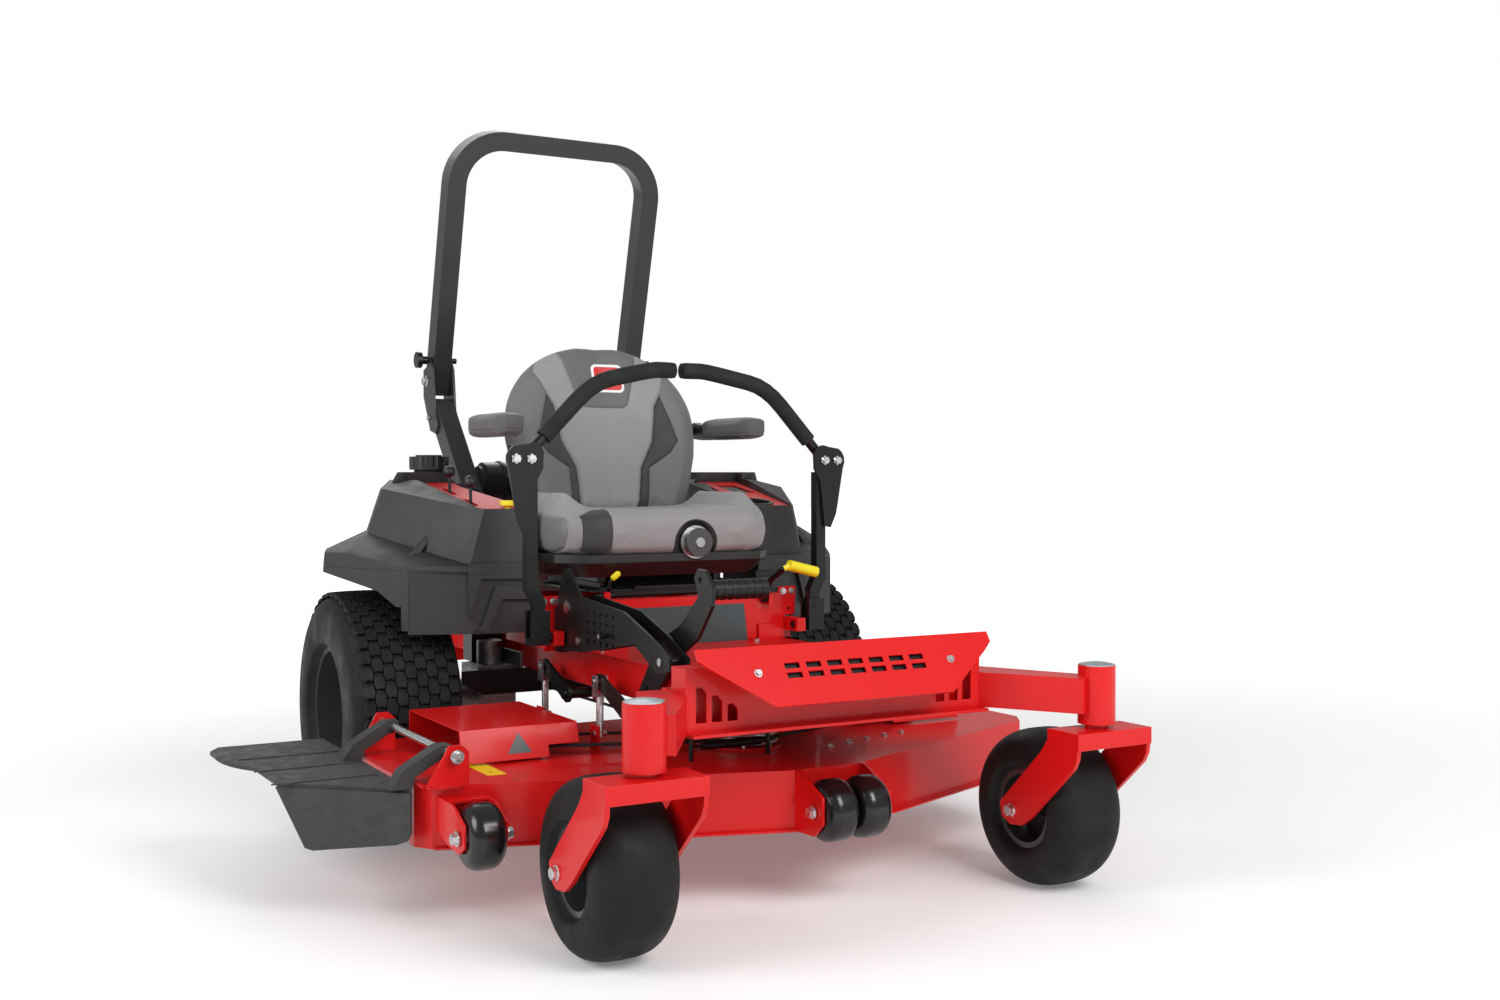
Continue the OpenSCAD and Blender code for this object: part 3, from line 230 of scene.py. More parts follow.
def rubber_sheet():
    """Discharge chute: moulded rubber with a streaked grain."""
    s = Shader("chute_rubber")
    s.colour(s.mix(s.noise(8.0, 8.0, 0.7, (1, 3, 1)), (0.016, 0.017, 0.018), (0.04, 0.042, 0.043)))
    s.rough(s.noise(40.0), 0.5, 0.8)
    s.bump(s.noise(26.0, 10.0, 0.75, (1, 4, 1)), 0.55, 0.003)
    return s.bump(s.noise(600.0), 0.25, 0.0005).mat


CHUTE = rubber_sheet()

# ---- CAD nodes that stay: soft edges and materials ----

PLAIN = {
    RED: ["frame_rails", "front_axle", "floor_pan", "seat_tower", "console_panels",
          "caster_fork_right", "caster_fork_left", "deck_shell", "belt_covers", "front_plate"],
    ROPS_BLACK: ["rops_base", "rops_hoop"],
    BLACK: ["engine_guard", "height_plates", "lever_yoke_right", "lever_yoke_left",
            "control_lever_right", "control_lever_left", "lift_pedal", "rear_lift_shaft",
            "seat_platform", "rops_pin_right", "rops_pin_left"],
    EXHAUST: ["muffler"],
    ALLOY: ["engine_block", "hydro_drives"],
    FENDER: ["fenders"],
    SMOOTH_BLACK: ["engine_shroud", "air_cleaner", "throttle_lever", "choke_lever", "fuel_cap",
                   "seat_pan"],
    ZINC: ["frame_hardware", "deck_fittings"],
    RIM: ["caster_rim_right", "caster_rim_left", "drive_rim_right", "drive_rim_left"],
    TYRE: ["caster_tyre_right", "caster_tyre_left", "drive_tyre_right", "drive_tyre_left"],
    FOAM: ["lever_grip_right", "lever_grip_left"],
    VINYL_LIGHT: ["seat_cushion", "seat_back"],
    VINYL_MID: ["armrest_right", "armrest_left"],
    STEEL: ["suspension_dial", "spindle_right", "spindle_centre", "spindle_left", "pto_clutch"],
    BELT: ["deck_belt"],
    CHUTE: ["chute"],
    ROLLER: ["roller_right", "rollers_centre"],
    YELLOW: ["parking_brake", "pto_knob"],
}
BEVELS = {"frame_hardware": 0.4, "deck_fittings": 0.4, "fenders": 5.0, "fuel_cap": 2.0,
          "caster_fork_right": 2.0, "caster_fork_left": 2.0, "deck_shell": 1.6, "belt_covers": 1.6}
SMOOTH_ONLY = ("caster_tyre_right", "caster_tyre_left", "drive_tyre_right", "drive_tyre_left",
               "lever_grip_right", "lever_grip_left", "roller_right", "rollers_centre",
               "throttle_lever", "choke_lever")


def soften(obj, width_mm, angle=32.0, dissolve=True):
    """Rounds the hard edges of a mesh with modifiers, leaving its own vertices alone."""
    weld = obj.modifiers.new("weld", "WELD")
    weld.merge_threshold = 0.00002
    if dissolve:
        flat = obj.modifiers.new("flat", "DECIMATE")
        flat.decimate_type = "DISSOLVE"
        flat.delimit = {"MATERIAL"}
        flat.angle_limit = math.radians(0.6)
    if width_mm > 0:
        bevel = obj.modifiers.new("bevel", "BEVEL")
        bevel.width = width_mm * MM
        bevel.segments = 2
        bevel.limit_method = "ANGLE"
        bevel.angle_limit = math.radians(angle)
        bevel.use_clamp_overlap = True
        bevel.harden_normals = False
    for poly in obj.data.polygons:
        poly.use_smooth = True
    normals = obj.modifiers.new("normals", "WEIGHTED_NORMAL")
    normals.keep_sharp = True
    normals.weight = 80


def finish_nodes():
    for material, names in PLAIN.items():
        for name in names:
            obj = NODES[name]
            obj.data.materials.clear()
            obj.data.materials.append(material)
            if name in SMOOTH_ONLY:
                soften(obj, 0.0, dissolve=False)
            else:
                soften(obj, BEVELS.get(name, 1.0))


finish_nodes()


# ---- second materials on nodes that hold more than one ----

def repaint(name, material, rule):
    """Gives another material to the faces that a rule picks by centre, in machine mm, and normal."""
    mesh = NODES[name].data
    mesh.materials.append(material)
    index = len(mesh.materials) - 1
    for poly in mesh.polygons:
        if rule((poly.center - SHIFT) / MM, poly.normal):
            poly.material_index = index


def leaned(p, foot, angle):
    """Distances along and above a line at foot (y, z) that leans by an angle."""
    y, z = p.y - foot[0], p.z - foot[1]
    return y * math.cos(angle) + z * math.sin(angle), z * math.cos(angle) - y * math.sin(angle)


def is_cap(p, _):
    """Domed cap on a caster barrel."""
    return p.z > 469.5 and abs(p.x) > 450 and p.y < -400


def is_spring(p, _):
    return abs(p.y) < 13 and -190 < p.x < 20


def is_backing(p, _):
    """Backing close behind the slotted front plate."""
    return leaned(p, PLATE_FOOT, PLATE_SLOPE)[1] < -2.5


def off_grip(p, _):
    """Brake lever outside its grip."""
    a, b = (Vector(end) for end in BRAKE_GRIP)
    t = max(0.0, min(1.0, (p - a).dot(b - a) / (b - a).length_squared))
    return (p - a - (b - a) * t).length >= 15


def is_cup(p, _):
    """Cup holder and its rim, in the left console."""
    along, up = leaned(p, CONSOLE_HINGE, CONSOLE_LEAN)
    away = math.hypot(p.x - CUP[0], along - CUP[1])
    return p.x > 0 and (away < 50.5 and abs(up) > 4.2 or away < 46 and up < -2)


def is_dial_face(p, normal):
    return normal.y < -0.7 and 376 < p.y < 382


# Pins and rod ends on the height plates: y, z and radius
HEIGHT_PINS = ((352, 570, 13.5), (292, 500, 8.5), (-110, 496, 8.5), (404, 500, 9.5), (142, 525, 6))


def is_height_pin(p, _):
    return (p.x < -303 or p.x > -255) and any(math.hypot(p.y - y, p.z - z) < r for y, z, r in HEIGHT_PINS)


def is_fork_bolt(p, _):
    """Hexagon heads on the caster axle, outside the fork's plates."""
    x, y, z = CASTER_AXLE
    return math.hypot(p.y - y, p.z - z) < 13.5 and abs(abs(p.x) - x) > 99


def is_lever_bolt(p, _):
    """Two bolt heads in front of a steering lever's adjuster plate."""
    return p.y < 358.4 and any(math.hypot(abs(p.x) - x, p.z - LEVER_BOLTS_Z) < 10.5 for x in LEVER_BOLTS_X)


repaint("frame_hardware", CAP_ZINC, is_cap)
repaint("deck_fittings", BLACK, is_spring)
repaint("front_plate", BLACK, is_backing)
repaint("parking_brake", BLACK, off_grip)
repaint("console_panels", SMOOTH_BLACK, is_cup)
repaint("suspension_dial", DIAL_GREY, is_dial_face)
repaint("height_plates", ZINC, is_height_pin)
for side, _ in SIDES:
    repaint("caster_fork_" + side, ZINC, is_fork_bolt)
    repaint("control_lever_" + side, ZINC, is_lever_bolt)


# ---- mesh helpers ----

def add_mesh(name, verts, faces, materials, body, slot, smooth=True):
    """A new piece in the row frame that rides on a CAD body."""
    data = bpy.data.meshes.new(name)
    data.from_pydata([tuple(v) for v in verts], [], faces)
    data.validate()
    obj = bpy.data.objects.new(name, data)
    bpy.context.scene.collection.objects.link(obj)
    for material in materials:
        data.materials.append(material)
    for poly in data.polygons:
        poly.use_smooth = smooth
    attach(obj, body)
    return obj


def baked(obj):
    """Puts the result of an object's modifiers into its own mesh."""
    graph = bpy.context.evaluated_depsgraph_get()
    graph.update()
    fresh = bpy.data.meshes.new_from_object(obj.evaluated_get(graph))
    obj.modifiers.clear()
    obj.data = fresh


def lathe(profile, axis_at, steps, name, material, body, slot):
    """Turns a closed outline of (radius, x) pairs in millimetres about an axle along X."""
    verts, faces = [], []
    count = len(profile)
    for i in range(steps):
        a = 2 * math.pi * i / steps
        for r, x in profile:
            verts.append(axis_at + Vector((x, r * math.cos(a), r * math.sin(a))) * MM)
    for i in range(steps):
        k = (i + 1) % steps
        for j in range(count):
            m = (j + 1) % count
            faces.append((i * count + j, k * count + j, k * count + m, i * count + m))
    return add_mesh(name, verts, faces, [material], body, slot)


def rings_skin(rings):
    """Vertices and faces of a closed form through rings of equal length, capped with fans."""
    verts = [v for ring in rings for v in ring]
    n = len(rings[0])
    faces = [(i * n + j, i * n + (j + 1) % n, (i + 1) * n + (j + 1) % n, (i + 1) * n + j)
             for i in range(len(rings) - 1) for j in range(n)]
    for ring, base, flip in ((rings[0], 0, True), (rings[-1], (len(rings) - 1) * n, False)):
        centre = sum(ring, Vector()) / n
        verts.append(centre)
        tip = len(verts) - 1
        for j in range(n):
            k = (j + 1) % n
            faces.append((base + k, base + j, tip) if flip else (base + j, base + k, tip))
    return verts, faces


def curve_tuple(points, t):
    """Catmull-Rom through equally spaced tuples of any length."""
    s = t * (len(points) - 1)
    i = min(int(s), len(points) - 2)
    u = s - i
    p = [points[max(0, min(len(points) - 1, i + k))] for k in (-1, 0, 1, 2)]
    return tuple(0.5 * (2 * b + (c - a) * u + (2 * a - 5 * b + 4 * c - d) * u * u
                        + (3 * b - a - 3 * c + d) * u ** 3) for a, b, c, d in zip(*p))


def side_of(points, x, y):
    """Signed distance from a closed outline: above zero inside."""
    inside = False
    best = 1e9
    n = len(points)
    for i in range(n):
        ax, ay = points[i]
        bx, by = points[(i + 1) % n]
        dx, dy = bx - ax, by - ay
        t = max(0.0, min(1.0, ((x - ax) * dx + (y - ay) * dy) / (dx * dx + dy * dy)))
        best = min(best, math.hypot(x - ax - t * dx, y - ay - t * dy))
        if (ay > y) != (by > y) and x < ax + (y - ay) * dx / dy:
            inside = not inside
    return best if inside else -best


# ---- padded seat pieces ----

def puff(obj, voxel, cap):
    """Fills a closed form like foam under a cover: remesh, a short cloth run with pressure, smoothing."""
    remesh = obj.modifiers.new("remesh", "REMESH")
    remesh.mode = "VOXEL"
    remesh.voxel_size = voxel
    baked(obj)
    start = [v.co.copy() for v in obj.data.vertices]
    cloth = obj.modifiers.new("cloth", "CLOTH")
    cloth.settings.use_pressure = True
    cloth.settings.uniform_pressure_force = 4.0
    cloth.settings.effector_weights.gravity = 0.0
    cloth.settings.quality = 4
    cloth.settings.mass = 0.4
    cloth.point_cache.frame_start = 1
    cloth.point_cache.frame_end = 20
    scene = bpy.context.scene
    for step in range(1, 21):
        scene.frame_set(step)
    baked(obj)
    for vert, was in zip(obj.data.vertices, start):
        move = vert.co - was
        if move.length > cap:
            vert.co = was + move.normalized() * cap
    scene.frame_set(1)
    sub = obj.modifiers.new("sub", "SUBSURF")
    sub.levels = sub.render_levels = 1
    baked(obj)
    for poly in obj.data.polygons:
        poly.use_smooth = True


def sew(obj, distances, width, depth):
    """Presses seams into a padded mesh where any of the distance functions is near zero, and stores each
    distance as an attribute that the material colours its panels by."""
    mesh = obj.data
    normals = [v.normal.copy() for v in mesh.vertices]
    places = [v.co.copy() for v in mesh.vertices]
    for name, distance in distances.items():
        values = [distance(p, n) for p, n in zip(places, normals)]
        attribute = mesh.attributes.new(name, "FLOAT", "POINT")
        attribute.data.foreach_set("value", values)
        for vert, normal, d in zip(mesh.vertices, normals, values):
            vert.co -= normal * depth * math.exp(-(d / width) ** 2)


LIGHT_GREY = (0.26, 0.254, 0.256)
MID_GREY = (0.15, 0.147, 0.148)
DARK_GREY = (0.042, 0.041, 0.041)

# Seat back sections from bottom to top: height, half width, front y and rear y
BACK_LEVELS = [(762, 226, 774, 828), (810, 240, 776, 838), (858, 254, 780, 846), (905, 264, 786, 852),
               (952, 272, 795, 858), (1000, 272, 804, 864), (1046, 263, 815, 870), (1090, 242, 828, 877),
               (1130, 210, 842, 884), (1164, 166, 853, 889), (1188, 112, 862, 893), (1200, 62, 870, 895)]
# Panel outlines on the right half of the back's front face, in (distance from the middle, height)
INSERT = [(159, 1076), (141, 1045), (127, 954), (90, 884), (80, 780), (80, 700), (102, 700), (113, 884),
          (172, 922), (197, 955)]
HEAD = [(-60, 1260), (124, 1230), (72, 1060), (66, 1046), (52, 1038), (-60, 1038)]
MIDDLE = [(-60, 1260), (130, 1260), (183, 1130), (159, 1076), (141, 1045), (127, 954), (90, 884),
          (80, 780), (80, 700), (-60, 700)]


def back_section(height, half, front, rear, n=64):
    """One level of the back: flat behind, crowned in front with bolsters standing forward."""
    ring = []
    mid, deep = (front + rear) / 2, (rear - front) / 2
    for i in range(n):
        a = 2 * math.pi * i / n
        c, s = math.cos(a), math.sin(a)
        x = half * math.copysign(abs(c) ** 0.55, c)
        y = mid + deep * math.copysign(abs(s) ** 0.55, s)
        if s < 0:
            wing = max(0.0, 1 - abs(abs(x) - 0.78 * half) / (0.3 * half))
            low = max(0.0, min(1.0, (1130 - height) / 120))
            y -= 16 * wing * low * min(1.0, -s * 2)
            y += 8 * max(0.0, 1 - abs(x) / (0.5 * half))
        ring.append(at(x, y, height))
    return ring


def on_front(region, facing=0.25):
    """Distance function of a mirrored outline on faces that look forwards."""
    def distance(p, normal):
        local = (p - SHIFT) / MM
        d = side_of(region, abs(local.x), local.z) * MM
        return d if normal.y < -facing else -abs(d) - 0.02
    return distance


def seat_back():
    levels = [curve_tuple(BACK_LEVELS, i / 40) for i in range(41)]
    rings = [back_section(*level) for level in levels]
    verts, faces = rings_skin(rings)
    obj = add_mesh("seat_back_pad", verts, faces, [BACK_VINYL], "seat", "vinyl")
    puff(obj, 0.006, 0.008)
    sew(obj, {"head": on_front(HEAD), "insert": on_front(INSERT), "middle": on_front(MIDDLE),
              "piping": lambda p, n: (p.y - (0.842 + SHIFT.y) - 0.22 * (p.z - 1.0))}, 0.0035, 0.0035)
    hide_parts("seat_back")


CUSHION_PLAN = [(0, 376), (196, 376), (226, 381), (256, 412), (280, 452), (290, 500), (290, 640),
                (286, 776), (266, 808), (0, 812)]
CUSHION_LEVELS = [(684, 16), (694, 7), (712, 3), (745, 2), (766, 5), (776, 14), (780, 26)]


def plan_loop(outline, inset, height, n=96):
    """A mirrored plan outline drawn inwards and resampled evenly."""
    half = [Vector((x, y)) for x, y in outline]
    loop = half + [Vector((-p.x, p.y)) for p in reversed(half[1:-1])]
    centre = Vector((0, (outline[0][1] + outline[-1][1]) / 2))
    lengths = [(loop[(i + 1) % len(loop)] - loop[i]).length for i in range(len(loop))]
    total = sum(lengths)
    ring = []
    for k in range(n):
        want = total * k / n
        i = 0
        while want > lengths[i]:
            want -= lengths[i]
            i += 1
        p = loop[i].lerp(loop[(i + 1) % len(loop)], want / lengths[i])
        out = p - centre
        p = p - Vector((math.copysign(min(inset, abs(out.x)), out.x), math.copysign(inset, out.y)))
        ring.append(at(p.x, p.y, height))
    return ring


def cut_away(obj, tool):
    """Subtracts a closed mesh from a piece and removes the tool."""
    boolean = obj.modifiers.new("cut", "BOOLEAN")
    boolean.object = tool
    boolean.solver = "EXACT"
    baked(obj)
    bpy.data.objects.remove(tool)


def from_bmesh(bm, name):
    """Object from a bmesh, with its faces turned outwards; the bmesh is freed."""
    bmesh.ops.recalc_face_normals(bm, faces=bm.faces)
    mesh = bpy.data.meshes.new(name)
    bm.to_mesh(mesh)
    bm.free()
    obj = bpy.data.objects.new(name, mesh)
    bpy.context.scene.collection.objects.link(obj)
    return obj


def prism(name, outline, start, end, axis=1):
    """Closed prism: an outline in the two other axes, from start to end along one axis, in machine mm."""
    bm = bmesh.new()
    rings = []
    for value in (start, end):
        ring = []
        for u, v in outline:
            p = [u, v]
            p.insert(axis, value)
            ring.append(bm.verts.new(at(*p)))
        rings.append(ring)
    n = len(outline)
    bm.faces.new(rings[0])
    bm.faces.new(list(reversed(rings[1])))
    for k in range(n):
        bm.faces.new((rings[0][(k + 1) % n], rings[0][k], rings[1][k], rings[1][(k + 1) % n]))
    return from_bmesh(bm, name)


def dress(obj, material, bevel_mm, body):
    """Material, soft edges and body of a rigid piece."""
    obj.data.materials.append(material)
    soften(obj, bevel_mm)
    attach(obj, body)


def half_round(cx, cz, r, low, n=24):
    """Arch outline in (x, z): a half circle on top of straight sides that go down to low."""
    return [(cx + r * math.cos(math.pi * i / n), cz + r * math.sin(math.pi * i / n))
            for i in range(n + 1)] + [(cx - r, low), (cx + r, low)]


def seat_cushion():
    rings = [plan_loop(CUSHION_PLAN, inset, height) for height, inset in CUSHION_LEVELS]
    verts, faces = rings_skin(rings)
    obj = add_mesh("seat_cushion_pad", verts, faces, [CUSHION_VINYL], "seat", "vinyl")
    puff(obj, 0.006, 0.007)
    # Bolsters rise along both sides and the middle sinks a little
    for vert in obj.data.vertices:
        local = (vert.co - SHIFT) / MM
        if local.z > 740:
            side = math.exp(-((abs(local.x) - 240) / 34) ** 2)
            along = max(0.0, min(1.0, (local.y - 430) / 90)) * max(0.0, min(1.0, (795 - local.y) / 60))
            dish = math.exp(-((local.x / 170) ** 2 + ((local.y - 640) / 150) ** 2))
            vert.co.z += ((local.z - 740) / 45) * (36 * side * along - 8 * dish) * MM
    cut_away(obj, prism("dial_recess", half_round(*DIAL, 55, 640), 350, 411))
    obj.data.update()

    def strip(p, normal):
        """Dark band at the front, on one side of the dial."""
        local = (p - SHIFT) / MM
        edge = 33 - abs(local.x + 207)
        return min(edge, 430 - local.y) * MM

    def recess(p, normal):
        local = (p - SHIFT) / MM
        away = math.hypot(local.x - DIAL[0], max(0.0, local.z - DIAL[1]))
        return (57 - away) * MM if local.y < 430 else -0.05

    def flank(p, normal):
        """Outer sides, below the crown."""
        local = (p - SHIFT) / MM
        return min(abs(local.x) - 264, 768 - local.z) * MM

    def top_seam(p, normal):
        local = (p - SHIFT) / MM
        return (abs(local.x) - 196) * MM if local.z > 765 and local.y > 470 else 0.05

    sew(obj, {"strip": strip, "flank": flank, "top_seam": top_seam}, 0.003, 0.0028)
    sew(obj, {"recess": recess}, 0.003, 0.0)
    for poly in obj.data.polygons:
        poly.use_smooth = True
    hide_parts("seat_cushion")


def armrest(side, sign):
    """Pad and the bracket that carries it."""
    rings = []
    for t in range(17):
        y = 596 + (852 - 596) * t / 16
        end = min(1.0, 0.8 + 0.2 * math.sin(min(1.0, min(t, 16 - t) / 2.0) * math.pi / 2))
        ring = []
        for i in range(32):
            a = 2 * math.pi * i / 32
            c, s = math.cos(a), math.sin(a)
            x = 330.5 + 29.5 * end * math.copysign(abs(c) ** 0.3, c)
            z = 986 + 25.5 * end * math.copysign(abs(s) ** 0.3, s)
            ring.append(at(sign * x, y, z))
        rings.append(ring)
    verts, faces = rings_skin(rings)
    obj = add_mesh("armrest_pad_" + side, verts, faces, [VINYL_MID], "armrest_" + side, "vinyl")
    puff(obj, 0.004, 0.003)
    sew(obj, {"seam": lambda p, n: p.z - 0.972}, 0.002, 0.0015)
    outline = [(640, 958), (852, 958), (900, 962), (921, 971), (927, 985), (921, 999), (900, 1007),
               (846, 998), (700, 966), (640, 966)]
    plate = prism("armrest_bracket_" + side, outline, sign * 305, sign * 327, axis=0)
    dress(plate, SMOOTH_BLACK, 2.0, "armrest_" + side)
    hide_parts("armrest_" + side)


BACK_VINYL = vinyl("seat_back_vinyl", MID_GREY, (("middle", LIGHT_GREY), ("head", (0.125, 0.122, 0.124)),
                                                   ("insert", DARK_GREY)))
CUSHION_VINYL = vinyl("cushion_vinyl", LIGHT_GREY, (("flank", MID_GREY), ("strip", DARK_GREY),
                                                      ("recess", DARK_GREY)))
seat_back()
seat_cushion()
for side, sign in SIDES:
    armrest(side, sign)


# ---- tyres ----

def tyre_profile(r_out, r_in, half, bead, shoulder_power):
    """Outer skin from bead to bead and a thin inner return, in (radius, x) millimetres."""
    outer = []
    steps = 40
    for i in range(steps + 1):
        a = math.pi * i / steps
        c, s = math.cos(a), math.sin(a)
        x = -half * math.copysign(abs(c) ** (2 / shoulder_power), c)
        r = r_in + 16 + (r_out - r_in - 16) * abs(s) ** (2 / shoulder_power)
        outer.append((r, x))
    lip = [(r_in + 14, -half + 4), (r_in + 6, -bead - 5), (r_in + 0.3, -bead), (r_in + 0.3, -bead + 12)]
    inner = [(r_out - 16, -half + 22), (r_out - 12, 0), (r_out - 16, half - 22)]
    return outer + [(r, -x) for r, x in lip] + inner[::-1] + lip[::-1]


def caster_tyre(side, sign):
    centre = at(sign * CASTER_AXLE[0], *CASTER_AXLE[1:])
    profile = tyre_profile(164.6, 76.3, 82, 61, 3.0)
    obj = lathe(profile, centre, 96, "caster_tyre_skin_" + side, TYRE, "caster_wheel_" + side, "tyre_rubber")
    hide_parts("caster_tyre_" + side)


TREAD_ROWS = 9
TREAD_AROUND = 44
TREAD_WIDTH = 226.0
DRIVE_HALF = 133
# Outline of one tread block, as shares of a row's width and of the pitch around the tyre
BLOCK = [(-0.46, -0.20), (-0.30, -0.44), (-0.02, -0.36), (0.28, -0.44), (0.46, -0.20), (0.46, 0.20),
         (0.30, 0.44), (0.02, 0.36), (-0.28, 0.44), (-0.46, 0.20)]


def drive_tyre(side, sign):
    """Turf tyre: a carcass with staggered blocks standing on it."""
    centre = at(sign * DRIVE_AXLE[0], *DRIVE_AXLE[1:])
    carcass = tyre_profile(284.0, 152.3, DRIVE_HALF, 106, 5.5)
    obj = lathe(carcass, centre, 120, "drive_tyre_skin_" + side, TYRE, "drive_wheel_" + side, "tyre_rubber")
    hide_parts("drive_tyre_" + side)
    verts, faces = [], []
    wide = TREAD_WIDTH / TREAD_ROWS
    turn = 2 * math.pi / TREAD_AROUND

    def place(x, a, lift):
        edge = abs(x) / DRIVE_HALF
        r = 283.2 - 5.0 * edge ** 4 + lift
        return centre + Vector((x, r * math.cos(a), r * math.sin(a))) * MM

    n = len(BLOCK)
    for row in range(-(TREAD_ROWS // 2), TREAD_ROWS // 2 + 1):
        x0 = row * wide
        for k in range(TREAD_AROUND):
            a0 = (k + 0.5 * (row % 2)) * turn
            first = len(verts)
            for scale, lift in ((1.06, -1.0), (1.0, 7.2), (0.9, 8.4)):
                for u, v in BLOCK:
                    verts.append(place(x0 + u * scale * wide * 1.12, a0 + v * scale * turn * 0.98, lift))
            for level in (0, 1):
                for j in range(n):
                    m = (j + 1) % n
                    base = first + level * n
                    faces.append((base + j, base + m, base + n + m, base + n + j))
            faces.append(tuple(first + 2 * n + j for j in range(n)))
            faces.append(tuple(first + n - 1 - j for j in range(n)))
    add_mesh("drive_tread_" + side, verts, faces, [TYRE], "drive_wheel_" + side, "tyre_rubber", False)


for side, sign in SIDES:
    caster_tyre(side, sign)
    drive_tyre(side, sign)


# ---- small parts and plain labels ----

LABEL_LIFTS = (0.05, 0.5)  # a label's underside and face above its surface, in mm


def label_on(name, outline, point, material, body, slot):
    """A thin label: a flat outline in two coordinates, put on a surface by point(u, v, lift)."""
    n = len(outline)
    verts = [point(u, v, lift) for lift in LABEL_LIFTS for u, v in outline]
    faces = [tuple(range(n, 2 * n)), tuple(reversed(range(n)))]
    faces += [(i, (i + 1) % n, n + (i + 1) % n, n + i) for i in range(n)]
    obj = add_mesh(name, verts, faces, [material], body, slot, False)
    bm = bmesh.new()
    bm.from_mesh(obj.data)
    bmesh.ops.recalc_face_normals(bm, faces=bm.faces)
    bm.to_mesh(obj.data)
    bm.free()


def rounded(x0, y0, x1, y1, r, n=6):
    """Rectangle with round corners."""
    corners = ((x1 - r, y1 - r, 0), (x0 + r, y1 - r, 90), (x0 + r, y0 + r, 180), (x1 - r, y0 + r, 270))
    return [(cx + r * math.cos(math.radians(a + 90 * k / n)), cy + r * math.sin(math.radians(a + 90 * k / n)))
            for cx, cy, a in corners for k in range(n + 1)]


def on_tower(u, v, lift):
    return at(u, TOWER_FRONT - lift, v)


def on_cover(u, v, lift):
    """Front slope of a belt cover, which rises from y 170 at its foot to y 190 at its top edge."""
    y = 170 + 20 * (v - COVER_FOOT) / COVER_RISE
    return at(u, y - lift, v)


def on_deck(u, v, lift):
    return at(u, v, DECK_TOP + lift)


label_on("tower_label", [(-115, 446), (207, 446), (194, 553), (-115, 553)], on_tower, DECAL_DARK, "chassis",
         "black_plastic")
label_on("tower_mark", [(222, 557), (252, 557), (237, 534)], on_tower, DECAL_RED, "chassis", "red_paint")
label_on("cover_mark", [(-512, 288), (-458, 288), (-485, 329)], on_cover, DECAL_DARK, "deck", "black_plastic")
label_on("deck_label", rounded(-596, 64, -556, 205, 4), on_deck, DECAL_YELLOW, "deck", "yellow_vinyl")


def patch(name, outline, material, lift):
    """Thin patch sewn on the seat back: rings of its outline, wrapped to the pad and lifted off it."""
    bm = bmesh.new()
    steps = 12
    n = len(outline)
    centre = Vector((18.5, 1115))
    rings = [[bm.verts.new(at(centre.x + (u - centre.x) * k / steps, 790,
                              centre.y + (v - centre.y) * k / steps)) for u, v in outline]
             for k in range(1, steps + 1)]
    middle = bm.verts.new(at(centre.x, 790, centre.y))
    for i in range(n):
        bm.faces.new((middle, rings[0][i], rings[0][(i + 1) % n]))
        for a, b in zip(rings, rings[1:]):
            bm.faces.new((a[i], b[i], b[(i + 1) % n], a[(i + 1) % n]))
    obj = from_bmesh(bm, name)
    obj.data.materials.append(material)
    wrap = obj.modifiers.new("wrap", "SHRINKWRAP")
    wrap.target = bpy.data.objects["seat_back_pad"]
    wrap.wrap_method = "PROJECT"
    wrap.use_project_x = wrap.use_project_z = False
    wrap.use_project_y = True
    wrap.use_positive_direction = True
    wrap.use_negative_direction = False
    baked(obj)
    for vert in obj.data.vertices:
        vert.co.y -= lift * MM
    thick = obj.modifiers.new("thick", "SOLIDIFY")
    thick.thickness = 0.0012
    thick.offset = 0.0
    baked(obj)
    for poly in obj.data.polygons:
        poly.use_smooth = True
    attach(obj, "seat")


patch("seat_patch_rim", rounded(-25, 1078, 62, 1152, 14), DECAL_WHITE, 0.6)
patch("seat_patch", rounded(-18, 1085, 55, 1145, 9), DECAL_RED, 1.2)


def bellows():
    """Folded rubber skirt of the seat suspension, between the platform and the seat pan."""
    rings = []
    for k in range(9):
        z = 597.4 + 30.0 * k / 8
        inset = 6 if k % 2 else 0
        outline = rounded(-136 + inset, 484 + inset, 136 - inset, 776 - inset, 20)
        rings.append([at(u, v, z) for u, v in outline])
    verts, faces = rings_skin(rings)
    obj = add_mesh("suspension_bellows", verts, faces, [BELT], "seat_platform", "belt_rubber", False)
    soften(obj, 0.6, dissolve=False)


bellows()


def rod_skin(a, b, r, steps=8, n=20):
    """Slightly flat rod from a to b with rounded ends."""
    along = (b - a).normalized()
    across = along.cross(Vector((0, 1, 0))).normalized()
    up = along.cross(across)
    rings = []
    for k in range(steps + 1):
        t = k / steps
        radius = r * math.sqrt(max(0.05, 1 - (2 * t - 1) ** 6))
        turns = (2 * math.pi * i / n for i in range(n))
        rings.append([at(*(a.lerp(b, t) + (across * math.cos(v) + up * 0.7 * math.sin(v)) * radius))
                      for v in turns])
    return rings_skin(rings)


def latch():
    """Yellow tab that frees the sliding seat, on a black stem."""
    foot, knee, tip = Vector((-176, 412, 600)), Vector((-170, 405, 624)), Vector((-150, 400, 641))
    add_mesh("latch_stem", *rod_skin(foot, knee, 4.0), [BLACK], "seat", "black_plastic")
    add_mesh("latch_tab", *rod_skin(knee, tip, 7.5), [YELLOW], "seat", "yellow_vinyl")


latch()


def rear_shield():
    """Flat black sheet across the frame behind the deck, above the belt."""
    outline = [(-396, 383.5), (-396, 352), (-340, 322), (340, 322), (396, 352), (396, 383.5)]
    dress(prism("rear_shield", outline, 786, 789), BLACK, 0.8, "chassis")


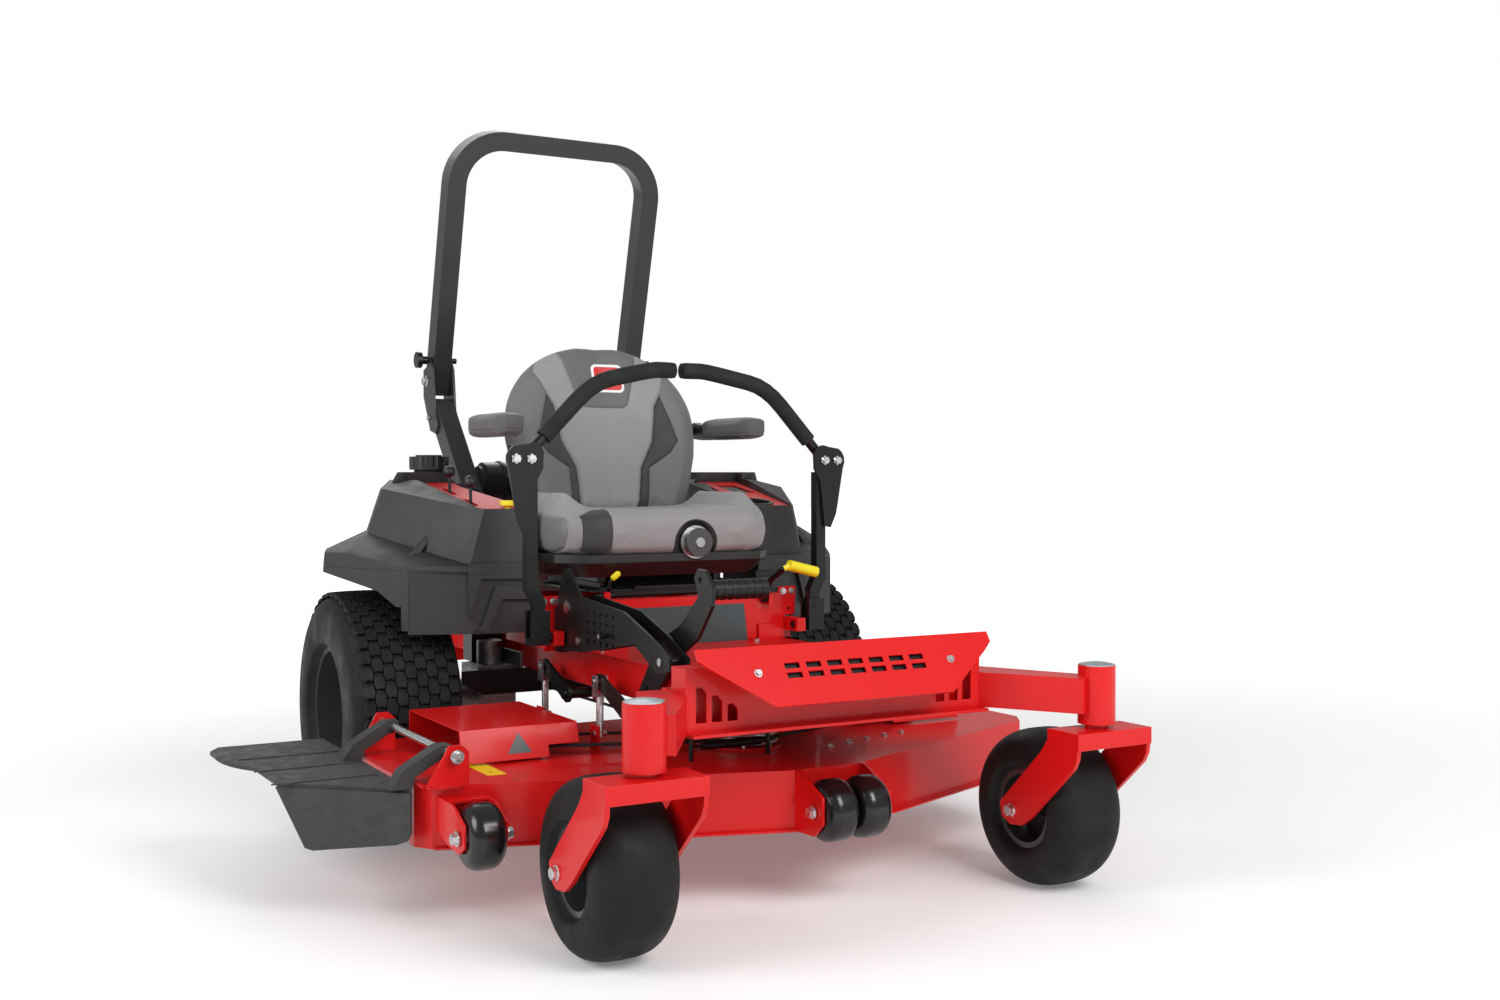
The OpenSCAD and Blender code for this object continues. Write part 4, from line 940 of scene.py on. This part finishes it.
rear_shield()


# ---- stage, lights, camera ----

def add_stage():
    """White floor that glows more with distance, and a world that shows brighter than it lights."""
    bpy.ops.mesh.primitive_plane_add(size=60.0, location=(0, 0, 0))
    floor = bpy.context.object
    floor.name = "floor"
    s = Shader("floor_white", Roughness=0.6)
    s.colour(s.mix(s.noise(2.0), (0.83, 0.83, 0.83), (0.85, 0.85, 0.85)))
    set_inputs(s.bsdf, {"Emission Color": (1.0, 1.0, 1.0, 1.0), "Specular IOR Level": 0.1})
    away = s.node("ShaderNodeVectorMath")
    away.operation = "LENGTH"
    s.link(s.coord, away.inputs[0])
    s.link(s.ranged(away.outputs["Value"], 0.16, 1.0, 1.6, 7.0), s.bsdf.inputs["Emission Strength"])
    floor.data.materials.append(s.mat)
    world = bpy.data.worlds.new("studio")
    bpy.context.scene.world = world
    world.use_nodes = True
    tree = world.node_tree
    light = tree.nodes["Background"]
    light.inputs["Strength"].default_value = 0.42
    seen = tree.nodes.new("ShaderNodeBackground")
    seen.inputs["Strength"].default_value = 1.0
    for back in (light, seen):
        back.inputs["Color"].default_value = (1.0, 1.0, 1.0, 1.0)
    path = tree.nodes.new("ShaderNodeLightPath")
    both = tree.nodes.new("ShaderNodeMixShader")
    tree.links.new(path.outputs["Is Camera Ray"], both.inputs["Fac"])
    tree.links.new(light.outputs["Background"], both.inputs[1])
    tree.links.new(seen.outputs["Background"], both.inputs[2])
    tree.links.new(both.outputs["Shader"], tree.nodes["World Output"].inputs["Surface"])


def add_area(name, location, target, size, watts):
    light = bpy.data.lights.new(name, "AREA")
    light.shape = "RECTANGLE"
    light.size, light.size_y = size
    light.energy = watts
    obj = bpy.data.objects.new(name, light)
    obj.location = location
    obj.rotation_euler = (Vector(target) - Vector(location)).to_track_quat("-Z", "Y").to_euler()
    bpy.context.scene.collection.objects.link(obj)


def add_camera():
    data = bpy.data.cameras.new("photo_view")
    data.sensor_width = 36.0
    data.lens = 37.136
    cam = bpy.data.objects.new("photo_view", data)
    cam.location = (-1.5633, -3.3790, 0.8697)
    cam.rotation_euler = Euler((math.radians(90 - 1.001), 0.0, math.radians(-29.957)), "XYZ")
    bpy.context.scene.collection.objects.link(cam)
    bpy.context.scene.camera = cam


bpy.context.scene.view_settings.view_transform = "Standard"
add_stage()
add_area("key", (0.6, -3.6, 2.6), (0.0, 0.0, 0.5), (1.8, 1.8), 95.0)
add_area("fill", (-3.8, -0.6, 2.4), (0.0, 0.0, 0.6), (2.0, 2.0), 85.0)
add_area("back", (0.5, 3.4, 3.2), (0.0, 0.3, 0.8), (3.0, 2.0), 50.0)
add_camera()
